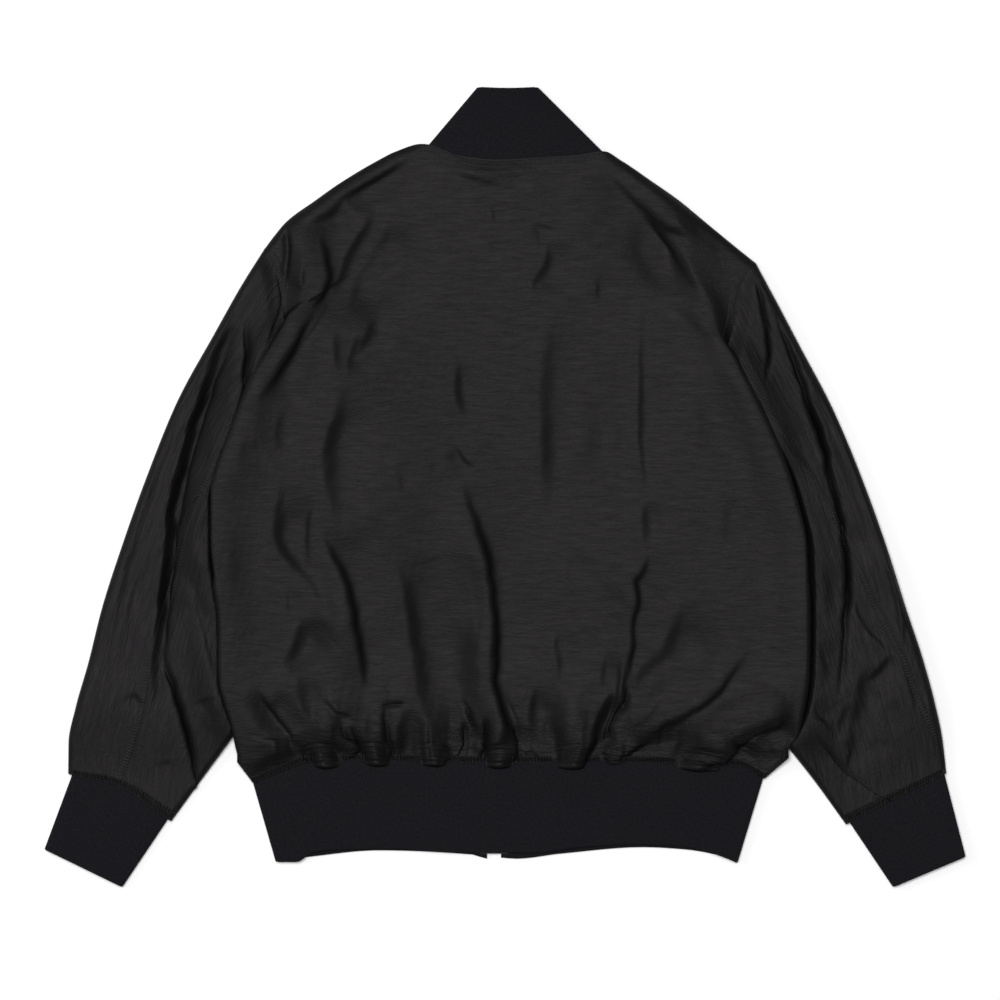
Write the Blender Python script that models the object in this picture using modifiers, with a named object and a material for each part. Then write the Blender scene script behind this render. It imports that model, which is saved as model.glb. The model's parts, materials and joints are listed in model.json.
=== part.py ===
"""A reversible track jacket, laid flat on its front with its back up.

The shell is thin woven cloth and the collar, cuffs and hem band are rib knit. Every piece that
is cut and sewn is its own thin solid. Tables and sizes are in millimetres, seen from above:
x to the right, y towards the collar, z up from the surface that the jacket lies on.
"""

from collections import namedtuple
from math import pi

import bmesh
import bpy
import numpy as np
from mathutils import Matrix

MM = 0.001

# Driving sizes
SHELL_WALL = 1.5            # woven shell with its backing
RIB_WALL = 2.6              # doubled rib knit
TAPE_WALL = 1.0             # zip tape
SEAM_GAP = 0.3              # between two pieces at a seam
REST = 8.0                  # top of the back where it lies flat on the fronts
SLEEVE_REST = 13.0          # top of a sleeve where nothing lies on it
TUCKED_REST = 6.8           # top of a sleeve that is tucked under the body
SIDE_LIFT = 9.4             # how far a tucked sleeve lifts the front panel
ARMHOLE_TOP = 9.5           # top of the back and sleeve along the armhole seam
RIB_TOP = 7.6               # top of the flattened collar, cuffs and hem band
TURNED_Z = 8.4              # underside of the back where it is turned under over a sleeve
ROLL = 6.0                  # radius of the soft roll along the body's side
EDGE_ROUND = 14.0           # how far in from a shoulder seam the back rounds down
SHOULDER_EDGE = 2.4         # height at which the back stands on the front at the shoulder
FRONT_EDGE_LEFT, FRONT_EDGE_RIGHT = -17.2, -3.8
ZIP_CENTRE = 0.5 * (FRONT_EDGE_LEFT + FRONT_EDGE_RIGHT)
LAYER_GAP = 1.9             # least room between two layers that lie on each other
NECK_CELLS = 7              # mesh columns along half of the front neck seam
CELLS_ACROSS = 40           # mesh cells of the back between its two crests
MIN_FOLD = 9.0              # narrowest fold that these meshes carry

Point = namedtuple("Point", "x y")
Side = namedtuple("Side", "y x top")
Station = namedtuple("Station", "outer_x outer_y inner_x inner_y seam")
Fold = namedtuple("Fold", "x0 y0 x1 y1 x2 y2 width depth lean")
Puff = namedtuple("Puff", "x half_width drop top")

# Shoulder line, neck seam of the back and shoulder line, from the left sleeve to the right one
TOP_EDGE = (
    Point(-237, 214), Point(-223, 234), Point(-207, 253), Point(-181, 272), Point(-154, 291),
    Point(-122, 310), Point(-104, 319), Point(-80, 326), Point(-70, 325), Point(-58, 320),
    Point(-44, 315), Point(-8, 311), Point(30, 313), Point(66, 315), Point(94, 319),
    Point(111, 310), Point(139, 291), Point(166, 272), Point(189, 253), Point(212, 234),
    Point(238, 213),
)
# Half of the front neck seam, from the shoulder seam to the zip, for each side
NECK_LEFT = (Point(-76, 326), Point(-70, 309), Point(-62, 291), Point(-45, 264), Point(-17, 238))
NECK_RIGHT = (Point(96, 318), Point(88, 303), Point(77, 286), Point(48, 259), Point(-4, 238))
# Seam between the body and the hem band
HEM_SEAM = (
    Point(-240, -284), Point(-218, -274), Point(-185, -263), Point(-138, -262), Point(-8, -264),
    Point(128, -264), Point(220, -267), Point(248, -280),
)

# The body's side as it is seen from above: a ridge at the top, then the roll that lies over
# the sleeve, down to the hem band
SIDE_LEFT = (
    Side(268, -190, 9), Side(234, -192, 12), Side(206, -192, 13), Side(178, -193, 14),
    Side(165, -206, 16), Side(146, -217, 18), Side(120, -231, 20), Side(82, -249, 22),
    Side(44, -264, 22), Side(8, -277, 23), Side(-13, -282, 23), Side(-56, -282, 23),
    Side(-98, -278, 23), Side(-125, -274, 22), Side(-184, -273, 21), Side(-203, -269, 20),
    Side(-227, -261, 18), Side(-257, -254, 14), Side(-274, -246, 11), Side(-286, -237, 8),
)
SIDE_RIGHT = (
    Side(277, 159, 9), Side(244, 168, 12), Side(206, 178, 14), Side(177, 193, 15),
    Side(160, 199, 16), Side(144, 206, 18), Side(128, 217, 20), Side(96, 233, 22),
    Side(49, 255, 23), Side(16, 269, 24), Side(-15, 279, 24), Side(-60, 289, 24),
    Side(-127, 291, 24), Side(-179, 290, 23), Side(-208, 286, 21), Side(-236, 279, 18),
    Side(-250, 270, 15), Side(-264, 258, 12), Side(-280, 249, 9),
)
# Armhole seam, from the shoulder's tip to the underarm
ARMHOLE_LEFT = (
    Point(-228, 227), Point(-219, 208), Point(-213, 188), Point(-210, 160), Point(-208, 139),
    Point(-205, 110), Point(-200, 82), Point(-193, 16), Point(-190, -56),
)
ARMHOLE_RIGHT = (
    Point(238, 213), Point(232, 206), Point(222, 185), Point(218, 158), Point(213, 139),
    Point(206, 110), Point(200, 82), Point(191, 16), Point(187, -56),
)
# A sleeve's outer edge and its inner edge, which is tucked under the body, and how far across
# the sleeve's top its back seam lies
SLEEVE_LEFT = (
    Station(-228, 227, -190, -56, 0.27), Station(-250, 192, -191, -70, 0.24),
    Station(-277, 144, -193, -87, 0.27), Station(-311, 82, -197, -112, 0.32),
    Station(-340, 11, -202, -136, 0.30), Station(-364, -56, -211, -160, 0.34),
    Station(-383, -115, -223, -184, 0.36), Station(-396, -167, -240, -210, 0.38),
    Station(-408, -209, -260, -240, 0.43), Station(-415, -243, -285, -274, 0.466),
    Station(-415.4, -272.9, -317.2, -318.2, 0.50),
)
SLEEVE_RIGHT = (
    Station(238, 213, 187, -56, 0.30), Station(259, 174, 188, -70, 0.30),
    Station(280, 134, 190, -87, 0.29), Station(312, 73, 194, -112, 0.27),
    Station(340, 6, 201, -138, 0.23), Station(363, -58, 212, -167, 0.20),
    Station(381, -115, 228, -193, 0.17), Station(396, -160, 247, -220, 0.135),
    Station(408, -203, 269, -248, 0.12), Station(416, -241, 295, -281, 0.07),
    Station(419.6, -272.6, 324.2, -321.4, 0.05),
)
FRONT_SEAM = 0.45           # where a sleeve's hidden seam lies, across its underside

# Folds: a trough runs through three points, or a ridge where the depth is below nothing.
# The lean makes the side to the right of its run steeper.
BACK_FOLDS = (
    Fold(-40, 13, -14, -95, 8, -268, 6, 7, 0.5),
    Fold(-152, 106, -166, 16, -157, -42, 9, 6, 0),
    Fold(-160, 158, -161, 130, -156, 106, 5, 3, 0),
    Fold(-138, 158, -144, 130, -151, 96, 5, 3, 0),
    Fold(-216, 1, -203, -68, -165, -138, 7, 5, 0),
    Fold(-179, -13, -187, -41, -187, -70, 6, 5, 0),
    Fold(-178, -34, -152, -98, -130, -193, 7, 7, 0.3),
    Fold(-100, 22, -100, -60, -88, -117, 8, 2, 0),
    Fold(-100, -108, -77, -174, -65, -258, 9, 5, 0),
    Fold(-51, -182, -40, -217, -26, -262, 5, 6, 0),
    Fold(55, 172, 43, 82, 40, -36, 11, 4, 0),
    Fold(52, -127, 52, -170, 48, -193, 6, 3, 0),
    Fold(99, -155, 90, -203, 81, -268, 8, 9, 0.4),
    Fold(132, 177, 130, 63, 133, -58, 5, 3, 0),
    Fold(133, -58, 119, -132, 99, -243, 6, 7, 0.4),
    Fold(170, -98, 155, -155, 114, -222, 9, 7, 0),
    Fold(170, -179, 143, -208, 107, -246, 5, 3, 0),
    Fold(242, -146, 197, -200, 128, -256, 7, 6, 0.3),
    Fold(276, -217, 223, -236, 180, -276, 11, 9, 0),
    Fold(212, -3, 210, -32, 209, -60, 6, 2, 0),
    Fold(-193, -127, -201, -160, -210, -172, 8, 4, 0),
    Fold(-192, -176, -190, -198, -183, -224, 6, 5, 0),
    Fold(-239, -187, -219, -214, -195, -246, 5, 5, 0),
    Fold(-252, -227, -223, -233, -195, -239, 9, 5, 0),
    Fold(-175, -200, -152, -217, -136, -241, 5, 6, 0),
    Fold(-162, -231, -147, -246, -140, -270, 7, 8, 0),
    Fold(-118, -208, -115, -233, -111, -268, 5, 8, 0),
    Fold(-88, -212, -98, -233, -102, -268, 6, 5, 0),
    Fold(-42, -229, -47, -246, -54, -270, 7, 8, 0),
    Fold(28, -193, 30, -217, 30, -262, 8, 5, 0),
    Fold(91, 306, 138, 260, 202, 226, 6, 5, 0.4),
    Fold(121, 266, 159, 234, 176, 201, 6, 4, 0),
    Fold(176, 234, 193, 229, 219, 213, 9, 5, 0),
    Fold(-85, 316, -124, 295, -171, 261, 6, 4, 0),
    Fold(-161, 267, -178, 253, -195, 246, 8, 5, 0),
    Fold(-177, 242, -170, 201, -183, 166, 6, 6, 0.4),
    Fold(-178, 172, -204, 130, -236, 77, 8, 6, 0),
    Fold(-104, 262, -126, 210, -154, 153, 9, 3, 0),
)
SLEEVE_FOLDS = (
    Fold(-219, 206, -220, 172, -231, 125, 6, 6, 0),
    Fold(-259, 158, -278, 128, -297, 94, 5, 4, 0),
    Fold(-263, 144, -301, 35, -320, -70, 8, 9, 0.3),
    Fold(-320, -70, -327, -117, -330, -160, 10, 9, 0),
    Fold(-330, -155, -331, -203, -358, -276, 5, 5, 0),
    Fold(-326, -146, -311, -203, -297, -285, 7, 7, 0),
    Fold(-246, 163, -251, 120, -258, 65, 6, 6, 0),
    Fold(-309, 63, -345, -37, -382, -165, 4, 2, 0),
    Fold(235, 201, 239, 144, 244, 77, 6, 6, 0),
    Fold(252, 182, 286, 54, 316, -51, 7, 8, 0.3),
    Fold(316, -41, 321, -127, 316, -217, 7, 8, 0),
    Fold(347, -165, 337, -205, 326, -257, 5, 4, 0),
    Fold(292, -227, 314, -267, 364, -301, 6, 5, 0),
    Fold(331, -98, 339, -129, 369, -160, 4, 3, 0),
    Fold(356, -51, 374, -103, 383, -170, 7, -2, 0),
)
# Puffs of the gathered back that hang over the hem band
HEM_PUFFS = (
    Puff(-169, 15, 7, 19), Puff(-121, 13, 5, 17), Puff(-66, 15, 4, 17), Puff(-6, 13, 5, 17),
    Puff(62, 18, 6, 18), Puff(103, 14, 2, 15), Puff(188, 27, 7, 20),
)

# Ribs
COLLAR_TOP_LEFT, COLLAR_TOP_RIGHT = Point(-26, 380), Point(31, 380)
COLLAR_BASE_LEFT, COLLAR_BASE_RIGHT = Point(-72, 326), Point(92, 320)
COLLAR_HEIGHT = 65          # of the rib band at the zip
HEM_CORNER_LEFT, HEM_CORNER_RIGHT = Point(-218, -357), Point(221, -358)
HEM_TURN_LEFT, HEM_TURN_RIGHT = Point(-239, -285), Point(245, -283)
HEM_BACK = (
    Point(-218, -357), Point(-198, -357), Point(-183, -348), Point(-158, -345), Point(-116, -344),
    Point(-34, -348), Point(25, -348), Point(81, -342), Point(122, -340), Point(160, -341),
    Point(189, -346), Point(209, -353), Point(221, -358),
)
HEM_FRONT = (
    Point(-218, -357), Point(-185, -352), Point(-120, -346), Point(-31, -350), Point(-17, -354),
    Point(-4, -353), Point(10, -354), Point(54, -349), Point(131, -343), Point(170, -345),
    Point(200, -350), Point(221, -358),
)
Cuff = namedtuple("Cuff", "outer_top inner_top outer_bottom inner_bottom")
CUFF_LEFT = Cuff(Point(-412, -275), Point(-321, -317), Point(-438, -345), Point(-364, -381))
CUFF_RIGHT = Cuff(Point(418, -274), Point(328, -320), Point(438, -352), Point(369, -381))

# Zip
CHAIN_HALF = 3.0            # width of one tape's row of teeth
TAPE_WIDTH = 13.0
SLIDER_Y = 289.0            # upper end of the closed chain, inside the slider
PULL_LENGTH = 27.0
PIVOT_Z = 1.85


def ease(value, start, end):
    """0 at the start, 1 at the end and level at both; the end may be the lower number."""
    share = np.clip((value - start) / (end - start), 0.0, 1.0)
    return share * share * (3.0 - 2.0 * share)


def curve(inputs, outputs):
    """A smooth curve through pairs of numbers, which never overshoots them."""
    xs, ys = (np.array(numbers, dtype=float) for numbers in (inputs, outputs))
    order = np.argsort(xs)
    xs, ys = xs[order], ys[order]
    steps = np.diff(xs)
    slopes = np.diff(ys) / steps
    tangents = np.zeros(len(xs))
    tangents[0], tangents[-1] = slopes[0], slopes[-1]
    same_way = slopes[:-1] * slopes[1:] > 0
    total = np.where(same_way, slopes[:-1] + slopes[1:], 1.0)
    tangents[1:-1] = np.where(same_way, 2.0 * slopes[:-1] * slopes[1:] / total, 0.0)

    def at(value):
        value = np.clip(value, xs[0], xs[-1])
        i = np.clip(np.searchsorted(xs, value, side="right") - 1, 0, len(xs) - 2)
        t = (value - xs[i]) / steps[i]
        start = (1 + 2 * t) * (1 - t) ** 2 * ys[i] + t * (1 - t) ** 2 * steps[i] * tangents[i]
        end = t * t * (3 - 2 * t) * ys[i + 1] + t * t * (t - 1) * steps[i] * tangents[i + 1]
        return start + end

    return at


def column(rows, across, down):
    """The curve of one named column of a table over another."""
    return curve([getattr(row, across) for row in rows], [getattr(row, down) for row in rows])


def fold_depth(folds, x, y):
    """How far the folds raise or lower the cloth at each point."""
    height = np.zeros(np.broadcast(x, y).shape)
    for fold in folds:
        width = max(fold.width, MIN_FOLD)
        t = np.linspace(0.0, 1.0, 13)
        bend_x = 2 * fold.x1 - (fold.x0 + fold.x2) / 2
        bend_y = 2 * fold.y1 - (fold.y0 + fold.y2) / 2
        line_x = (1 - t) ** 2 * fold.x0 + 2 * t * (1 - t) * bend_x + t * t * fold.x2
        line_y = (1 - t) ** 2 * fold.y0 + 2 * t * (1 - t) * bend_y + t * t * fold.y2
        nearest = np.full(height.shape, 1e9)
        along = np.zeros(height.shape)
        side = np.ones(height.shape)
        for i in range(len(t) - 1):
            run_x, run_y = line_x[i + 1] - line_x[i], line_y[i + 1] - line_y[i]
            off_x, off_y = x - line_x[i], y - line_y[i]
            share = np.clip((off_x * run_x + off_y * run_y) / (run_x ** 2 + run_y ** 2), 0, 1)
            gap = np.hypot(off_x - share * run_x, off_y - share * run_y)
            closer = gap < nearest
            nearest = np.where(closer, gap, nearest)
            along = np.where(closer, t[i] + share * (t[i + 1] - t[i]), along)
            side = np.where(closer, np.sign(off_x * run_y - off_y * run_x), side)
        reach = nearest / width
        trough = np.exp(-reach ** 2) * (1.0 + fold.lean * side * np.minimum(reach, 1.0))
        height -= fold.depth * trough * ease(along, 0.0, 0.25) * ease(along, 1.0, 0.75)
    return height


def rim(distance, radius):
    """Height of a round edge, as a share of its radius, at a distance in from the edge."""
    inside = np.clip(distance / radius, 0.0, 1.0)
    return np.sqrt(1.0 - (1.0 - inside) ** 2)


class Half:
    """The curves of one side of the jacket; sign is -1 on the left and 1 on the right."""

    def __init__(self, sign, side, armhole, sleeve, rolled_from, rolled_to):
        self.sign = sign
        self.edge = column(side, "y", "x")
        self.crest_top = column(side, "y", "top")
        self.armhole = column(armhole, "y", "x")
        inner = [(row.inner_y, row.inner_x) for row in sleeve[1:]]
        whole = [(point.y, point.x) for point in armhole] + inner
        self.boundary = curve([y for y, _ in whole], [x for _, x in whole])
        self.rolled_from, self.rolled_to = rolled_from, rolled_to
        t = np.linspace(0.0, 1.0, len(sleeve))
        self.station = {name: curve(t, [getattr(row, name) for row in sleeve])
                        for name in Station._fields}
        first = sleeve[0]
        self.first_line = curve([first.inner_y, first.outer_y], [first.inner_x, first.outer_x])

    def rolled(self, y):
        """0 where the side is a ridge inside the armhole, 1 where it rolls over the sleeve."""
        return ease(y, self.rolled_from, self.rolled_to)

    def past(self, x, y):
        """How far a point lies inside the sleeve's outline, past the armhole or inner edge."""
        return self.sign * (x - self.boundary(y))


LEFT = Half(-1, SIDE_LEFT, ARMHOLE_LEFT, SLEEVE_LEFT, 190, 132)
RIGHT = Half(1, SIDE_RIGHT, ARMHOLE_RIGHT, SLEEVE_RIGHT, 180, 104)
top_edge = column(TOP_EDGE, "x", "y")
hem_seam = column(HEM_SEAM, "x", "y")


def front_height(x, y):
    """Underside of the fronts: flat, but lifted where they cross a tucked sleeve."""
    half_lift = [ease(half.past(x, y), -38, -10) for half in (LEFT, RIGHT)]
    return SIDE_LIFT * np.maximum(*half_lift) * ease(y, 30, -50)


def body_lift(x, y):
    """How far the tucked sleeves and the turned-under sides lift the back."""
    half_lift = [ease(half.past(x, y), -46, -6) * half.rolled(y) for half in (LEFT, RIGHT)]
    return 9.0 * np.maximum(*half_lift) * ease(y, -285, -240)


def back_height(x, y, crests):
    """Top of the back panel between its two crests."""
    base = REST + body_lift(x, y) + 3.0 * np.exp(-((x + 10) / 40) ** 2 - ((y - 290) / 24) ** 2)
    for crest_x, crest_top in crests:
        near = np.exp(-((x - crest_x) / 30.0) ** 2)
        base = base + (crest_top - base) * near
    lowest = front_height(x, y) + 2 * SHELL_WALL + LAYER_GAP
    over_zip = ease(np.abs(x - ZIP_CENTRE), 30.0, 15.0)
    lowest = np.maximum(lowest, REST - 3.6 + 0.9 * body_lift(x, y) + 2.0 * over_zip)
    return np.maximum(base + fold_depth(BACK_FOLDS, x, y), lowest)


def back_top(x):
    """The back's upper edge: below the shoulder and neck seams, with more room at the corners."""
    left_corner = ease(x, -50, -62) * ease(x, -92, -80)
    right_corner = ease(x, 70, 82) * ease(x, 108, 98)
    return top_edge(x) - SEAM_GAP - 0.7 * np.maximum(left_corner, right_corner)


def on_edge(edge, share, start):
    """The point of an edge x(y) that lies a share of the way from the top edge to the hem."""
    y = start
    for _ in range(60):
        x = edge(y)
        y = 0.5 * y + 0.5 * (top_edge(x) * (1 - share) + hem_seam(x) * share)
    return x, y


def side_end(half, y):
    """Where the back's edge lies: on the armhole, or below the underarm at the side seam."""
    below = ease(y, -60, -110)
    turned = half.edge(y) - half.sign * (ROLL + 10.0)
    return half.armhole(y) * (1 - below) + turned * below


def bezier(t, start, near, far, end):
    """A cubic Bezier curve."""
    return ((1 - t) ** 3 * start + 3 * t * (1 - t) ** 2 * near + 3 * t * t * (1 - t) * far
            + t ** 3 * end)


def side_columns(half, share, shares_out):
    """Points of one row of the back from the crest out and, lower down, round and under."""
    crest_x, crest_y = on_edge(lambda y: half.edge(y) - half.sign * ROLL * half.rolled(y), share,
                               100.0)
    end_x, end_y = on_edge(lambda y: side_end(half, y), share, crest_y)
    rolled = half.rolled(crest_y)
    gap = half.sign * (end_x - crest_x)
    crest_z = half.crest_top(crest_y)
    turned_z = TURNED_Z + (front_height(end_x, end_y) - TURNED_Z) * ease(end_y, -50, -90)
    end_z = ARMHOLE_TOP * (1 - rolled) + turned_z * rolled
    tip_gap = 0.4 + 0.3 * ease(end_y, 170.0, 205.0)
    near_x = crest_x + half.sign * (0.35 * gap * (1 - rolled) + 8.0 * rolled)
    reach = 0.35 * max(gap, 6.0) * (1 - rolled) + max(10.0 - gap, 6.0) * rolled
    far_x = end_x - half.sign * reach * np.cos(pi * rolled)
    far_z = end_z + 0.6 * reach * np.sin(pi * rolled)
    t = np.array(shares_out)
    x = bezier(t, crest_x, near_x, far_x, end_x - half.sign * tip_gap)
    z = bezier(t, crest_z, crest_z, far_z, end_z)
    y = crest_y + (end_y - crest_y) * t
    flat_y = back_top(x) * (1 - share) + hem_seam(x) * share
    y = flat_y * (1 - rolled) + y * rolled
    z = z + fold_depth(BACK_FOLDS, x, y) * (1 - t) * (1 - t * rolled)
    z = np.maximum(z, bezier(t, end_z + 5.2, end_z + 5.2, far_z, end_z) - 9.0 * (1 - rolled))
    return x, y, z


OUTWARD = (0.0, 0.22, 0.42, 0.60, 0.78, 0.94, 1.0)


def back_row(share, core):
    """One row of the back, from its left edge to its right edge."""
    left = side_columns(LEFT, share, OUTWARD)
    right = side_columns(RIGHT, share, OUTWARD)
    crests = ((left[0][0], LEFT.crest_top(left[1][0])), (right[0][0], RIGHT.crest_top(right[1][0])))
    x = left[0][0] + (right[0][0] - left[0][0]) * core[1:-1]
    y = back_top(x) * (1 - share) + hem_seam(x) * share
    z = back_height(x, y, crests)
    row = [np.concatenate((left[i][::-1], middle, right[i])) for i, middle in enumerate((x, y, z))]
    return round_shoulders(*row, share)


def round_shoulders(x, y, z, share):
    """Brings the back down to the front at the shoulder seams, and level to the neck seam."""
    from_top = (back_top(x) - y) * 0.8
    from_top = np.where(from_top > EDGE_ROUND, 1e3, np.maximum(from_top, 0.0))
    neck = ease(x, -92, -72) * ease(x, 104, 90)
    shoulder_z = SHOULDER_EDGE + (z - SHOULDER_EDGE) * rim(from_top, EDGE_ROUND)
    neck_z = RIB_TOP + (z - RIB_TOP) * ease(from_top, 0.0, 12.0)
    rounded = shoulder_z * (1 - neck) + neck_z * neck
    return np.stack((x, y, rounded if share < 0.2 else z), axis=-1)


def puff_share(x):
    """How much of a puff hangs over the hem band at x, with its drop and its top."""
    share = np.zeros(np.shape(x))
    drop, top = share.copy(), share.copy()
    for puff in HEM_PUFFS:
        near = np.clip(np.abs(x - puff.x) / puff.half_width, 0, 1)
        swell = (1 - near ** 2) ** 0.7
        share, drop, top = share + swell, drop + swell * puff.drop, top + swell * puff.top
    return share, drop, top


# Rows of the gathers at the hem: how far above the seam, and how much of the drop and top
Gather = namedtuple("Gather", "above drop top")
GATHERS = (Gather(22, 0, 0.85), Gather(13, 0, 1.0), Gather(6.5, 0.35, 0.9), Gather(2.5, 0.9, 0.66),
           Gather(0.3, 1.0, 0.0))


def hem_rows(above_row):
    """The rows that gather the back into the hem band, under puffs that hang over its top."""
    rows = []
    x, _, z = above_row.T
    t = np.array(OUTWARD)
    crest_left, crest_right = len(t) - 1, len(x) - len(t)
    over_rib = RIB_TOP + SHELL_WALL + 0.25
    seam_x, seam_z = x.copy(), np.full(len(x), over_rib)
    for half, turn, columns in ((LEFT, HEM_TURN_LEFT, slice(crest_left, None, -1)),
                                (RIGHT, HEM_TURN_RIGHT, slice(crest_right, None))):
        end_x, _ = on_edge(lambda y, half=half: side_end(half, y), 1.0, turn.y)
        crest_x = turn.x - half.sign * 5.0
        seam_x[columns] = bezier(t, crest_x, crest_x + half.sign * 6.0,
                                 crest_x + half.sign * 7.0, end_x - half.sign * SEAM_GAP)
        seam_z[columns] = bezier(t, over_rib, over_rib, 0.0, 0.0)
    core = slice(crest_left, crest_right + 1)
    grow = (seam_x[crest_right] - seam_x[crest_left]) / (x[crest_right] - x[crest_left])
    seam_x[core] = seam_x[crest_left] + (x[core] - x[crest_left]) * grow
    share, drop, top = puff_share(seam_x)
    inside = np.zeros(len(x))
    inside[core] = 1.0
    share, drop = share * inside, drop * inside
    for gather in GATHERS:
        height = seam_z + (z - seam_z) * ease(gather.above, 0.0, 25.0)
        height = height + gather.top * share * np.maximum(top - height, 0.0)
        reach_x = seam_x + (x - seam_x) * gather.above / GATHERS[0].above
        y = hem_seam(reach_x) + gather.above - gather.drop * drop
        rows.append(np.stack((reach_x, y, height), axis=-1))
    return rows


TOP_SHARES = (0.0, 0.001, 0.005, 0.014, 0.030, 0.055)
ARMHOLE_SHARES = (0.09, 0.115, 0.14, 0.165, 0.19, 0.215, 0.24, 0.27)
BODY_SHARES = tuple(np.linspace(0.32, 0.94, 12))


def make_back(cells_across):
    core = np.linspace(0.0, 1.0, cells_across + 1)
    rows = [back_row(share, core) for share in TOP_SHARES + ARMHOLE_SHARES + BODY_SHARES]
    return np.array(rows + hem_rows(rows[-1]))


def sleeve_height(half, x, y):
    """Top of a sleeve: low where it is tucked under the body, full where it shows."""
    out = half.sign * (x - half.edge(y))
    shown = ease(out, 5.0, 20.0)
    above = ease(y, half.rolled_to - 5, half.rolled_from - 5)
    shown = shown + (1.0 - shown) * above
    height = TUCKED_REST + (SLEEVE_REST - TUCKED_REST) * shown
    near_seam = (1 - ease(half.past(x, y), 0.0, 18.0)) * ease(y, -55, -20)
    seam_top = ARMHOLE_TOP + (TUCKED_REST - ARMHOLE_TOP) * half.rolled(y)
    height = height + (seam_top - height) * near_seam
    height = height + fold_depth(SLEEVE_FOLDS, x, y) * shown * (1 - near_seam)
    return np.maximum(height, 2 * SHELL_WALL + 0.6)


def sleeve_point(half, t, distance, lower):
    """A point of the sleeve's outside at a distance in from its outer edge."""
    outer_x, outer_y, inner_x, inner_y = (
        half.station[name](t) for name in ("outer_x", "outer_y", "inner_x", "inner_y"))
    width = np.hypot(inner_x - outer_x, inner_y - outer_y)
    w = distance / width
    x, y = outer_x + w * (inner_x - outer_x), outer_y + w * (inner_y - outer_y)
    first_y = half.station["outer_y"](0.0) * (1 - w) + half.station["inner_y"](0.0) * w
    bow = half.armhole(first_y) - half.first_line(first_y)
    x = x + (bow * (1 - ease(t, 0.0, 0.35)) + half.sign * 0.4 * (1 - ease(t, 0, 0.03)))
    radius = 7.0
    edges = rim(distance, radius) * rim(width - distance, radius)
    top = sleeve_height(half, x, y)
    top = top + (RIB_TOP - top) * ease(t, 0.955, 1.0)
    middle = 0.42 * top
    z = middle * (1 - edges) if lower else middle + (top - middle) * edges
    return np.stack((x, y, z), axis=-1)


def bunched(cells, start, end):
    """Distances from start to end, closer together at both ends."""
    return start + (end - start) * ease(np.linspace(0.0, 1.0, cells + 1), 0.0, 1.0)


def to_seam(cells, start, seam):
    """Distances from start to a seam, with one last narrow cell that sets its wall upright."""
    stop = seam - 1.5 * np.sign(seam - start)
    return np.append(bunched(cells, start, stop), seam)


def make_sleeve(half, outer_piece, cells_over, cells_under, stations):
    """One of a sleeve's two pieces, between its back seam and its hidden seam underneath."""
    rows = []
    for t in stations:
        ends = [half.station[name](t) for name in ("outer_x", "outer_y", "inner_x", "inner_y")]
        width = np.hypot(ends[2] - ends[0], ends[3] - ends[1])
        seam, under = half.station["seam"](t) * width, FRONT_SEAM * width
        gap = SEAM_GAP
        if outer_piece:
            parts = ((to_seam(cells_under, 0.0, under - gap)[::-1], True),
                     (to_seam(cells_over, 0.0, seam - gap)[1:], False))
        else:
            parts = ((to_seam(cells_over, width, seam + gap)[::-1], False),
                     (to_seam(cells_under, width, under + gap)[1:], True))
        rows.append(np.concatenate([sleeve_point(half, t, d, lower) for d, lower in parts]))
    return np.array(rows)


def make_front(half, neck, front_edge):
    """A front panel, lying on its outside, from the zip's edge to its side."""
    neck_y = column(neck, "x", "y")
    shoulder = neck[0]
    rows = []
    for share in TOP_SHARES[::4] + TOP_SHARES[5:] + ARMHOLE_SHARES[::2] + BODY_SHARES + (0.975, 1.0):
        end_x, end_y = on_edge(lambda y: side_end(half, y), share, 0.0)
        end_x = end_x - half.sign * (1.3 + 0.8 * ease(end_y, 150.0, 175.0))
        tuck_x, _ = on_edge(half.boundary, share, end_y)
        tuck_x = half.sign * min(half.sign * tuck_x, half.sign * end_x + 2.0)
        rise = tuck_x - half.sign * np.array((40.0, 29.0, 19.0, 8.0))
        neck_x = np.linspace(front_edge, shoulder.x, NECK_CELLS + 1)
        low_x = front_edge + (rise[0] - front_edge) * np.linspace(0, 0.8, NECK_CELLS + 1)
        settle = ease(share, 0.0, 0.5)
        near_x = neck_x * (1 - settle) + low_x * settle
        far_x = rise[-1] + (end_x - rise[-1]) * np.array((0.3, 0.65, 1.0))
        x = np.concatenate((near_x, rise, far_x))
        top = np.where(half.sign * x < half.sign * shoulder.x, neck_y(x), top_edge(x))
        hem_gap = SEAM_GAP + 1.5 * ease(np.abs(x), 165, 195)
        y = (top - SEAM_GAP) * (1 - share) + (hem_seam(x) + hem_gap) * share
        y[-1] = end_y - SEAM_GAP * (share == 0) + hem_gap[-1] * (share == 1)
        rows.append(np.stack((x, y, front_height(x, y)), axis=-1))
    return np.array(rows)


def mix(first, second, share):
    return Point(first.x + (second.x - first.x) * share, first.y + (second.y - first.y) * share)


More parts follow.
